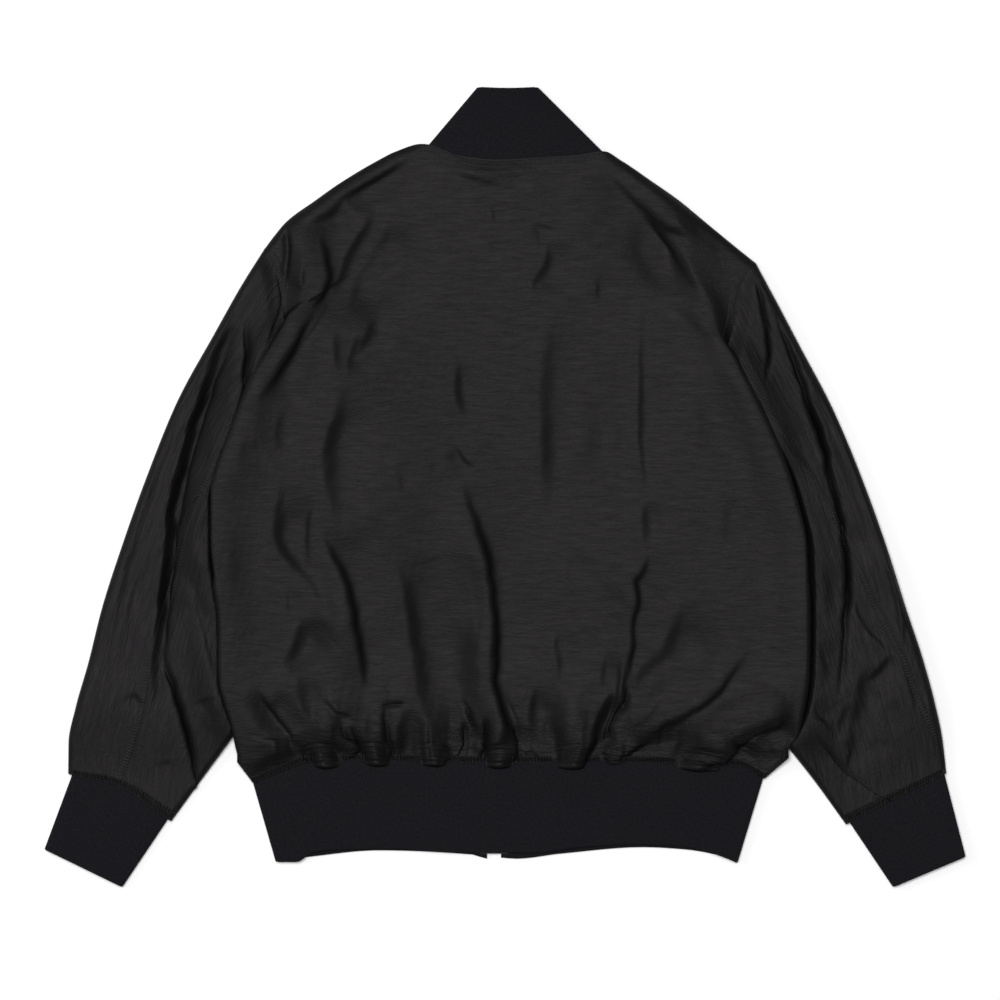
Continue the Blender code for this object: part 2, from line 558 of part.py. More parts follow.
def make_collar(rows_up):
    """The collar band: its back lies on top and its two front halves run under it to the zip."""
    left_x = np.linspace(FRONT_EDGE_LEFT, NECK_LEFT[0].x, NECK_CELLS + 1)
    right_x = np.linspace(NECK_RIGHT[0].x, FRONT_EDGE_RIGHT, NECK_CELLS + 1)
    neck_left, neck_right = column(NECK_LEFT, "x", "y"), column(NECK_RIGHT, "x", "y")
    top_left = curve([FRONT_EDGE_LEFT, NECK_LEFT[0].x], [0, 1])
    top_right = curve([FRONT_EDGE_RIGHT, NECK_RIGHT[0].x], [0, 1])
    grid = []
    for up in np.linspace(0.0, 1.0, rows_up + 1):
        row = []
        for x in left_x:
            share = float(top_left(x))
            base = Point(x, float(neck_left(x)) + SEAM_GAP)
            top = mix(Point(FRONT_EDGE_LEFT, 238 + COLLAR_HEIGHT), COLLAR_TOP_LEFT, share ** 1.5)
            point = mix(base, top, up)
            row.append((point.x, point.y, 0.0))
        left, right = mix(COLLAR_BASE_LEFT, COLLAR_TOP_LEFT, up), mix(
            COLLAR_BASE_RIGHT, COLLAR_TOP_RIGHT, up)
        width = right.x - left.x
        ring = []
        for distance in (0.0, 1.2):
            ring.append((distance, RIB_TOP * 0.5 + RIB_TOP * 0.5 * float(rim(distance, 3.8))))
        middle = list(np.linspace(4.0, width - 4.0, 13))
        ring += [(distance, RIB_TOP) for distance in middle]
        ring += [(width - distance, z) for distance, z in reversed(ring[:2])]
        row[-1] = (left.x + 3.8, row[-1][1], 0.0)
        for distance, z in ring:
            x = left.x + distance
            base_x = COLLAR_BASE_LEFT.x + distance / width * (COLLAR_BASE_RIGHT.x
                                                              - COLLAR_BASE_LEFT.x)
            base_y = float(top_edge(base_x)) + SEAM_GAP
            top_y = COLLAR_TOP_LEFT.y - 1.0 * np.sin(pi * distance / width)
            row.append((x, base_y + (top_y - base_y) * up, z))
        for i, x in enumerate(right_x):
            share = float(top_right(x))
            base = Point(x, float(neck_right(x)) + SEAM_GAP)
            top = mix(Point(FRONT_EDGE_RIGHT, 238 + COLLAR_HEIGHT), COLLAR_TOP_RIGHT, share ** 1.5)
            point = mix(base, top, up)
            row.append((point.x if i else right.x - 3.8, point.y, 0.0))
        grid.append(row)
    return np.array(grid)


def make_hem(rows_down):
    """The hem band: its back lies on top, and its fronts run under it to the zip."""
    back_low, front_low = column(HEM_BACK, "x", "y"), column(HEM_FRONT, "x", "y")
    grid = []
    for down in np.linspace(0.0, 1.0, rows_down + 1):
        left = mix(HEM_TURN_LEFT, HEM_CORNER_LEFT, down)
        right = mix(HEM_TURN_RIGHT, HEM_CORNER_RIGHT, down)
        width = right.x - left.x
        round_x = [0.0, 0.6, 2.0, 3.8]
        across = round_x + list(np.linspace(14, width - 14, 24)) + [width - d for d in round_x[::-1]]
        row = []
        front_left = [left.x + d for d in round_x[1:]] + list(
            np.linspace(left.x + 24, FRONT_EDGE_LEFT, 8))
        front_right = list(np.linspace(FRONT_EDGE_RIGHT, right.x - 24, 9)) + [
            right.x - d for d in round_x[:0:-1]]
        half_top = RIB_TOP / 2
        for x in front_left[::-1]:
            z = half_top * (1 - float(rim(x - left.x, 3.8)))
            row.append((x, band_y(x, down, left, right, front_low), z))
        for distance in across:
            x = left.x + distance
            z = half_top * (1 + float(rim(distance, 3.8) * rim(width - distance, 3.8)))
            row.append((x, band_y(x, down, left, right, back_low), z))
        for x in front_right[::-1]:
            z = half_top * (1 - float(rim(right.x - x, 3.8)))
            row.append((x, band_y(x, down, left, right, front_low), z))
        grid.append(row)
    return np.array(grid)


def band_y(x, down, left, right, low):
    """Height up the jacket of a point of the hem band, between its seam and its lower edge."""
    share = (x - left.x) / (right.x - left.x)
    seam_x = HEM_TURN_LEFT.x + share * (HEM_TURN_RIGHT.x - HEM_TURN_LEFT.x)
    low_x = HEM_CORNER_LEFT.x + share * (HEM_CORNER_RIGHT.x - HEM_CORNER_LEFT.x)
    seam_y = float(hem_seam(seam_x)) - SEAM_GAP
    return seam_y + (float(low(low_x)) - seam_y) * down


def make_cuff(cuff, cells_across, rows_down):
    """A cuff: a flattened tube, narrower at the wrist."""
    grid = []
    for down in np.linspace(0.0, 1.0, rows_down + 1):
        outer = mix(cuff.outer_top, cuff.outer_bottom, down)
        inner = mix(cuff.inner_top, cuff.inner_bottom, down)
        width = np.hypot(inner.x - outer.x, inner.y - outer.y)
        inset = [0.0, 0.5, 1.8, 3.8]
        across = inset + list(np.linspace(12, width - 12, cells_across)) + [
            width - d for d in inset[::-1]]
        ring = [(d, 1) for d in across] + [(d, -1) for d in across[-2:0:-1]]
        row = []
        for distance, way in ring + ring[:1]:
            point = mix(outer, inner, distance / width)
            swell = float(rim(distance, 3.8) * rim(width - distance, 3.8))
            row.append((point.x, point.y, RIB_TOP / 2 * (1 + way * swell)))
        grid.append(row)
    return np.array(grid)


def material(name, colour, roughness, metallic=0.0):
    made = bpy.data.materials.new(name)
    made.use_nodes = True
    shader = made.node_tree.nodes["Principled BSDF"]
    shader.inputs["Base Color"].default_value = (*colour, 1.0)
    shader.inputs["Roughness"].default_value = roughness
    shader.inputs["Metallic"].default_value = metallic
    return made


def add_object(name, mesh, collection, finish):
    piece = bpy.data.objects.new(name, mesh)
    mesh.materials.append(finish)
    collection.objects.link(piece)
    return piece


def cloth(name, grid, wall, collection, finish, lies_on_outside=False, closed=False):
    """A sheet through a grid of points, thickened inwards from its outside."""
    rows, columns = grid.shape[:2]
    sheet = bmesh.new()
    bmesh.ops.create_grid(sheet, x_segments=columns - 1, y_segments=rows - 1, size=1.0)
    for vert, place in zip(sheet.verts, grid.reshape(-1, 3) * MM):
        vert.co = place
    if closed:
        bmesh.ops.remove_doubles(sheet, verts=sheet.verts, dist=1e-6)
    sheet.normal_update()
    highest = max(sheet.verts, key=lambda vert: vert.co.z)
    if (highest.normal.z < 0.0) != lies_on_outside:
        bmesh.ops.reverse_faces(sheet, faces=sheet.faces)
    mesh = bpy.data.meshes.new(name)
    sheet.to_mesh(mesh)
    sheet.free()
    mesh.shade_smooth()
    piece = add_object(name, mesh, collection, finish)
    solid = piece.modifiers.new("wall", "SOLIDIFY")
    solid.thickness = wall * MM
    solid.offset = -1.0
    return piece


def tape_height(y):
    """The zip tape's underside: on the fronts' inside, and higher over the two ribs."""
    over_hem = ease(y, -250, -262)
    over_collar = ease(y, 222, 240)
    return 1.9 + 1.1 * over_hem + 2.6 * over_collar


def make_tape(name, sign, collection, finish):
    """One zip tape, with its half of the chain as a plain bead along its inner edge."""
    y_rows = list(np.linspace(-349, -262, 4)) + list(np.linspace(-246, 218, 12)) + [
        228.0, 240.0, 262.0, 280.0, SLIDER_Y + 4.0]
    profile = ((0.1, -0.1), (CHAIN_HALF, -0.1), (CHAIN_HALF, 0.0), (TAPE_WIDTH, 0.0),
               (TAPE_WIDTH, TAPE_WALL), (CHAIN_HALF, TAPE_WALL), (CHAIN_HALF, 1.7), (0.1, 1.7))
    tube = bmesh.new()
    rings = []
    for y in y_rows:
        rings.append([tube.verts.new(((ZIP_CENTRE + sign * x) * MM, y * MM,
                                      (tape_height(y) + z) * MM)) for x, z in profile])
    count = len(profile)
    for near, far in zip(rings, rings[1:]):
        for i in range(count):
            tube.faces.new((near[i], near[(i + 1) % count], far[(i + 1) % count], far[i]))
    for ring in (rings[0], rings[-1]):
        quads = ((0, 1, 6, 7), (1, 2, 5, 6), (2, 3, 4, 5))
        for quad in quads:
            tube.faces.new([ring[i] for i in quad])
    bmesh.ops.recalc_face_normals(tube, faces=tube.faces)
    mesh = bpy.data.meshes.new(name)
    tube.to_mesh(mesh)
    tube.free()
    return add_object(name, mesh, collection, finish)


def block(mesh, centre, size):
    """Adds a box to a mesh being built."""
    made = bmesh.ops.create_cube(mesh, size=1.0)
    for vert in made["verts"]:
        vert.co = [(c + v * s) * MM for c, v, s in zip(centre, vert.co, size)]


def joined(name, boxes, collection, finish, helpers):
    """Boxes made one solid with Boolean unions."""
    pieces = []
    for i, (centre, size) in enumerate(boxes):
        build = bmesh.new()
        block(build, centre, size)
        mesh = bpy.data.meshes.new(name if i == 0 else f"{name}_part_{i}")
        build.to_mesh(mesh)
        build.free()
        pieces.append(add_object(mesh.name, mesh, collection if i == 0 else helpers, finish))
    for other in pieces[1:]:
        other.hide_render = True
        other.display_type = "WIRE"
        union = pieces[0].modifiers.new("join", "BOOLEAN")
        union.operation = "UNION"
        union.object = other
    return pieces[0]


def make_slider(collection, helpers, finish):
    """Two plates over and under the chain, the post between them and the bridge of the pull."""
    y, z = SLIDER_Y, tape_height(SLIDER_Y)
    low, high = z - 0.1 - 0.35, z + 1.7 + 0.35
    boxes = (
        ((ZIP_CENTRE, y + 1.0, low - 0.45), (9.0, 11.0, 0.9)),
        ((ZIP_CENTRE, y + 1.0, high + 0.45), (9.0, 11.0, 0.9)),
        ((ZIP_CENTRE, y + 5.8, (low + high) / 2), (2.0, 1.4, high - low + 1.0)),
        ((ZIP_CENTRE, y - 2.6, PIVOT_Z + 0.4), (1.8, 1.2, low - 0.7 - PIVOT_Z + 2.2)),
        ((ZIP_CENTRE, y + 3.6, PIVOT_Z + 0.4), (1.8, 1.2, low - 0.7 - PIVOT_Z + 2.2)),
        ((ZIP_CENTRE, y + 0.5, PIVOT_Z - 1.25), (1.8, 7.4, 0.7)),
    )
    return joined("zip_slider", boxes, collection, finish, helpers)


def make_pull(collection, helpers, finish):
    """The pull tab: a plate with a window whose end bar passes through the slider's bridge."""
    y, z = SLIDER_Y, PIVOT_Z
    tip = y - PULL_LENGTH
    boxes = (
        ((ZIP_CENTRE, (tip + y - 9) / 2, z), (8.0, y - 9 - tip, 1.0)),
        ((ZIP_CENTRE - 2.7, y - 4.2, z), (2.0, 10.4, 1.0)),
        ((ZIP_CENTRE + 2.7, y - 4.2, z), (2.0, 10.4, 1.0)),
        ((ZIP_CENTRE, y + 0.5, z), (6.0, 0.8, 0.8)),
    )
    pull = joined("zip_pull", boxes, collection, finish, helpers)
    pivot = Matrix.Translation((ZIP_CENTRE * MM, (y + 0.5) * MM, z * MM))
    pull.data.transform(pivot.inverted())
    pull.matrix_world = pivot
    return pull


def main():
    for item in list(bpy.data.objects):
        bpy.data.objects.remove(item, do_unlink=True)
    jacket = bpy.data.collections.new("reversible_track_jacket")
    helpers = bpy.data.collections.new("helpers")
    for collection in (jacket, helpers):
        bpy.context.scene.collection.children.link(collection)
    shell = material("shell", (0.020, 0.018, 0.019), 0.45)
    rib = material("rib", (0.010, 0.010, 0.016), 0.85)
    tape = material("zip_tape", (0.012, 0.012, 0.014), 0.8)
    metal = material("zip_metal", (0.05, 0.05, 0.055), 0.35, 0.9)

    cloth("back", make_back(CELLS_ACROSS), SHELL_WALL, jacket, shell)
    cloth("front_left", make_front(LEFT, NECK_LEFT, FRONT_EDGE_LEFT), SHELL_WALL, jacket, shell,
          lies_on_outside=True)
    cloth("front_right", make_front(RIGHT, NECK_RIGHT, FRONT_EDGE_RIGHT), SHELL_WALL, jacket,
          shell, lies_on_outside=True)
    stations = [0.0, 0.004] + list(np.linspace(0.05, 0.94, 15)) + [0.97, 0.99, 1.0]
    for word, half in (("left", LEFT), ("right", RIGHT)):
        cloth(f"sleeve_outer_{word}", make_sleeve(half, True, 6, 4, stations), SHELL_WALL,
              jacket, shell)
        cloth(f"sleeve_inner_{word}", make_sleeve(half, False, 8, 4, stations), SHELL_WALL,
              jacket, shell)
    cloth("cuff_left", make_cuff(CUFF_LEFT, 7, 3), RIB_WALL, jacket, rib, closed=True)
    cloth("cuff_right", make_cuff(CUFF_RIGHT, 7, 3), RIB_WALL, jacket, rib, closed=True)
    cloth("hem_rib", make_hem(3), RIB_WALL, jacket, rib)
    cloth("collar_rib", make_collar(4), RIB_WALL, jacket, rib)
    make_tape("zip_tape_left", -1, jacket, tape)
    make_tape("zip_tape_right", 1, jacket, tape)
    make_slider(jacket, helpers, metal)
    make_pull(jacket, helpers, metal)


main()
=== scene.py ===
"""A reversible track jacket, laid flat on its front with its back up, seen from straight above.

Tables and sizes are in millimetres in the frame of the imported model: x to the right, y towards
the collar, z up from the surface. Creases are given as they are seen in the photograph, in its
pixels, and seen() turns them into millimetres.
"""

import json
from collections import namedtuple
from math import pi

import bpy
import numpy as np
from mathutils import Vector
from mathutils.bvhtree import BVHTree
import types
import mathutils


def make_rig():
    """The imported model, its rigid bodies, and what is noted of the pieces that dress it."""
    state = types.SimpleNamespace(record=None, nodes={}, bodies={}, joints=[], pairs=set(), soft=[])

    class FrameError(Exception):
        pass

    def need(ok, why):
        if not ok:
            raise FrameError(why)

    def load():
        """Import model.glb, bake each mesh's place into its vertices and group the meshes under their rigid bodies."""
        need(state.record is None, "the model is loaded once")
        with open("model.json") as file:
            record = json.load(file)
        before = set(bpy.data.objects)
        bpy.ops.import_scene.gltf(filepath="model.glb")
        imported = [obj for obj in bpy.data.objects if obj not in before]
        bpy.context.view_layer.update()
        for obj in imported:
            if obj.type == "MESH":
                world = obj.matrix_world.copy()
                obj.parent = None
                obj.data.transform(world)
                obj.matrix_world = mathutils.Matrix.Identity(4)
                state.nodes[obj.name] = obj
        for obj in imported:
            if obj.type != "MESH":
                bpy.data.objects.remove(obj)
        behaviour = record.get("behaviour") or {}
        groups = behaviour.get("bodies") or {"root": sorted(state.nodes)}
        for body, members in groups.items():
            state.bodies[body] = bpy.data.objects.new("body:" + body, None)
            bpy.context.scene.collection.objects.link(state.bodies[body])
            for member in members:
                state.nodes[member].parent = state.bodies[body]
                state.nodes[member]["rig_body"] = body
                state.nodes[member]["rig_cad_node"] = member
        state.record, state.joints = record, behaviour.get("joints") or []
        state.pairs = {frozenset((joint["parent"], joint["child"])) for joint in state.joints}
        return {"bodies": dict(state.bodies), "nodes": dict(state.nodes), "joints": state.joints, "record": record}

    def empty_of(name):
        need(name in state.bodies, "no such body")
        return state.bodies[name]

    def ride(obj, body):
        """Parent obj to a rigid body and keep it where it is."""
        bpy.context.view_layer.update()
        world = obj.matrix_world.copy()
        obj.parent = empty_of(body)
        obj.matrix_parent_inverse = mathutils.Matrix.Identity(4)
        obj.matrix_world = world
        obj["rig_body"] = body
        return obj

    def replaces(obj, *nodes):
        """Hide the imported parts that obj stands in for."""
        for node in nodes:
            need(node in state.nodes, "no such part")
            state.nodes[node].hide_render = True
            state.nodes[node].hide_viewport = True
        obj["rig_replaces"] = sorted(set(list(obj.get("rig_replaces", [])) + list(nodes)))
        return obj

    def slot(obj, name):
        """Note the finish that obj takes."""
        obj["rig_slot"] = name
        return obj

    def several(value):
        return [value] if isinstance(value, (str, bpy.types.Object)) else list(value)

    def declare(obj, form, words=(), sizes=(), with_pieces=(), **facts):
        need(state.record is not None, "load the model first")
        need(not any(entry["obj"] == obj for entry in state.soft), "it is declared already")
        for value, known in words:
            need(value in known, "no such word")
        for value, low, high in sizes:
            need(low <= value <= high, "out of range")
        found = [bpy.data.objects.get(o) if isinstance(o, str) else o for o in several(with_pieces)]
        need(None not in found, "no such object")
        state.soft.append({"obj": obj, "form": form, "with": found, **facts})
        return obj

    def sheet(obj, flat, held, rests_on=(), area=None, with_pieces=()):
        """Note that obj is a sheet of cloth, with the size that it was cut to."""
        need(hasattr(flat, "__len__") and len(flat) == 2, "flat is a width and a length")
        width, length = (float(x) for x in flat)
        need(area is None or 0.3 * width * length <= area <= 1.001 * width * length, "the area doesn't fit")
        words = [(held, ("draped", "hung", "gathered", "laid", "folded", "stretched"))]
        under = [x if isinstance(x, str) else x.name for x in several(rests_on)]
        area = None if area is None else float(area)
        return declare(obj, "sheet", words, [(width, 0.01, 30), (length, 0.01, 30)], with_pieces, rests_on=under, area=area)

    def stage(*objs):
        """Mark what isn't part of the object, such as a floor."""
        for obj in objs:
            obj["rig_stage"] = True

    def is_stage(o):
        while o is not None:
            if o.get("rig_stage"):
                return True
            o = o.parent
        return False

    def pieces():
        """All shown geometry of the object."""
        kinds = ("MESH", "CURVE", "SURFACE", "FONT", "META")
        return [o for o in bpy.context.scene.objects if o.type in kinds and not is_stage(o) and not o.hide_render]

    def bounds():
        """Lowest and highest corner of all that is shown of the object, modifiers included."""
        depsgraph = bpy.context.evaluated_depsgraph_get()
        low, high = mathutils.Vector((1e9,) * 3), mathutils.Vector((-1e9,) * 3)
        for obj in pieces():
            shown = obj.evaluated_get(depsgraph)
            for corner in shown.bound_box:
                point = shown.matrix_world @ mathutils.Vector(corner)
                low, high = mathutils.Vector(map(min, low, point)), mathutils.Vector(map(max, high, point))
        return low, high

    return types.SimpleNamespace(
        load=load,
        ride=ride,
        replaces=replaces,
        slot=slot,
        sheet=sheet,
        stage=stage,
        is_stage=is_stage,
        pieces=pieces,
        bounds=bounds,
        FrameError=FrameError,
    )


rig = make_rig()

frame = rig.load()
cad_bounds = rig.bounds()

MM = 0.001
PIXEL = 0.95                # millimetres of the jacket in one pixel of the photograph
ORIGIN_X, ORIGIN_Y = 505.0, 486.5     # the pixel at which the frame's origin is seen
SOFT_FLOOR = 1.2            # over how much height a deep fold levels out on what is below it
GATHER_PIXEL = 744          # creases that end below this line run on into the hem's gathers
VIEW_X, VIEW_Y, VIEW_WIDTH = -4.75, -12.8, 950.0

# Driving sizes, as in the part's source
CLOTH = 0.5                 # how far the drawn cloth lies above what is under it, at least
RIB_WALL = 2.6              # thickness of a rib band
SEAM_GAP = 0.3              # between two pieces that meet at a seam
UNDERSIDE = 0.05            # how far the under side of the drawn ribs lies off the floor
REST = 8.0                  # top of the back where nothing lifts it
SLEEVE_REST = 13.0          # top of a sleeve where it shows
PUFF_LIFT = 4.0             # how far the folds above the hem's puffs stand out
BLOUSE = 4.0                # how much higher the back stands above the hem band
TICK_PITCH = 2.9            # from one pucker of a gathered or stitched strip to the next
STRIP_WIDTH = 7.0           # a double-stitched seam, from border to border
STRIP_STEP = 0.75           # from one row of points of such a strip to the next
STITCH_LENGTH, STITCH_PITCH, THREAD = 2.2, 3.0, 0.18
THREAD_SIDES = 5            # corners of a stitch's cross-section
STITCH_SECTIONS = (         # how far along a stitch, how high, and how thick against the thread
    (-0.5, -0.25, 0.5), (-0.28, 0.2, 1.0), (0.28, 0.2, 1.0), (0.5, -0.25, 0.5),
)
ARC_PITCH = 4.6             # from one compressed wrinkle of a puff to the next
TUCKED_REST = 6.8           # top of a sleeve where the body lies on it
SIDE_LIFT = 9.4             # under side of the fronts where they lie on a tucked sleeve
ARMHOLE_TOP = 9.5           # top of the cloth along the armhole seams
RIB_TOP = 7.6               # top of the rib bands
TURNED_Z = 8.4              # where the back's turned-under edge lies at the armhole
ROLL = 6.0                  # how far the sides roll out past the crest over a sleeve
EDGE_ROUND = 10.0           # radius of the shoulders
SLEEVE_ROUND = 7.0          # radius of a sleeve's folded edges
RIB_ROUND = 3.8             # radius of a rib band's folded edges
RIB_BEND = np.linspace(0.0, RIB_ROUND, 8)           # distances in from such an edge
BAND_TUCK = 2.4             # how far the first row of a band dips under the cloth sewn to it
SHOULDER_EDGE = 2.4         # height of the shoulder seams
FRONT_EDGE_LEFT, FRONT_EDGE_RIGHT = -17.2, -3.8     # where the fronts end at the zip, in x
FRONT_SEAM = 0.45           # share of a sleeve's width from its edge to the front seam

Point = namedtuple("Point", "x y")
Side = namedtuple("Side", "y x top")
Station = namedtuple("Station", "outer_x outer_y inner_x inner_y seam")
Crease = namedtuple("Crease", "width depth step path")
Puff = namedtuple("Puff", "x half_width drop top")
Cuff = namedtuple("Cuff", "outer_top inner_top outer_bottom inner_bottom")
Gather = namedtuple("Gather", "at above drop top")
Cut = namedtuple("Cut", "piece width length area rests_on")


def table(kind, rows):
    """The rows of a table, with its columns named."""
    return tuple(kind(*row) for row in rows)


TOP_EDGE = table(Point, (
    (-237, 214), (-223, 234), (-207, 253), (-181, 272), (-154, 291), (-122, 310), (-104, 319),
    (-80, 326), (-70, 325), (-58, 320), (-44, 315), (-8, 311), (30, 313), (66, 315), (94, 319),
    (111, 310), (139, 291), (166, 272), (189, 253), (212, 234), (238, 213),
))
NECK_LEFT = table(Point, ((-76, 326), (-70, 309), (-62, 291), (-45, 264), (-17, 238)))
NECK_RIGHT = table(Point, ((96, 318), (88, 303), (77, 286), (48, 259), (-4, 238)))
HEM_SEAM = table(Point, (
    (-240, -284), (-218, -274), (-185, -263), (-138, -262), (-8, -264), (128, -264), (220, -267),
    (248, -280),
))
SIDE_LEFT = table(Side, (
    (268, -190, 9), (234, -192, 12), (206, -192, 13), (178, -193, 14), (165, -206, 16),
    (146, -217, 18), (120, -231, 20), (82, -249, 22), (44, -264, 22), (8, -277, 23),
    (-13, -282, 23), (-56, -282, 23), (-98, -278, 23), (-125, -274, 22), (-184, -273, 21),
    (-203, -269, 20), (-227, -261, 18), (-257, -254, 14), (-274, -246, 11), (-286, -237, 8),
))
SIDE_RIGHT = table(Side, (
    (277, 159, 9), (244, 168, 12), (206, 178, 14), (177, 193, 15), (160, 199, 16), (144, 206, 18),
    (128, 217, 20), (96, 233, 22), (49, 255, 23), (16, 269, 24), (-15, 279, 24), (-60, 289, 24),
    (-127, 291, 24), (-179, 290, 23), (-208, 286, 21), (-236, 279, 18), (-250, 270, 15),
    (-264, 258, 12), (-280, 249, 9),
))
ARMHOLE_LEFT = table(Point, (
    (-228, 227), (-219, 208), (-213, 188), (-210, 160), (-208, 139), (-205, 110), (-200, 82),
    (-193, 16), (-190, -56),
))
ARMHOLE_RIGHT = table(Point, (
    (238, 213), (232, 206), (222, 185), (218, 158), (213, 139), (206, 110), (200, 82), (191, 16),
    (187, -56),
))
SLEEVE_LEFT = table(Station, (
    (-228, 227, -190, -56, 0.27), (-250, 192, -191, -70, 0.24), (-277, 144, -193, -87, 0.27),
    (-311, 82, -197, -112, 0.32), (-340, 11, -202, -136, 0.30), (-364, -56, -211, -160, 0.34),
    (-383, -115, -223, -184, 0.36), (-396, -167, -240, -210, 0.38), (-408, -209, -260, -240, 0.43),
    (-415, -243, -285, -274, 0.466), (-415.4, -272.9, -317.2, -318.2, 0.50),
))
SLEEVE_RIGHT = table(Station, (
    (238, 213, 187, -56, 0.30), (259, 174, 188, -70, 0.30), (280, 134, 190, -87, 0.29),
    (312, 73, 194, -112, 0.27), (340, 6, 201, -138, 0.23), (363, -58, 212, -167, 0.20),
    (381, -115, 228, -193, 0.17), (396, -160, 247, -220, 0.135), (408, -203, 269, -248, 0.12),
    (416, -241, 295, -281, 0.07), (419.6, -272.6, 324.2, -321.4, 0.05),
))

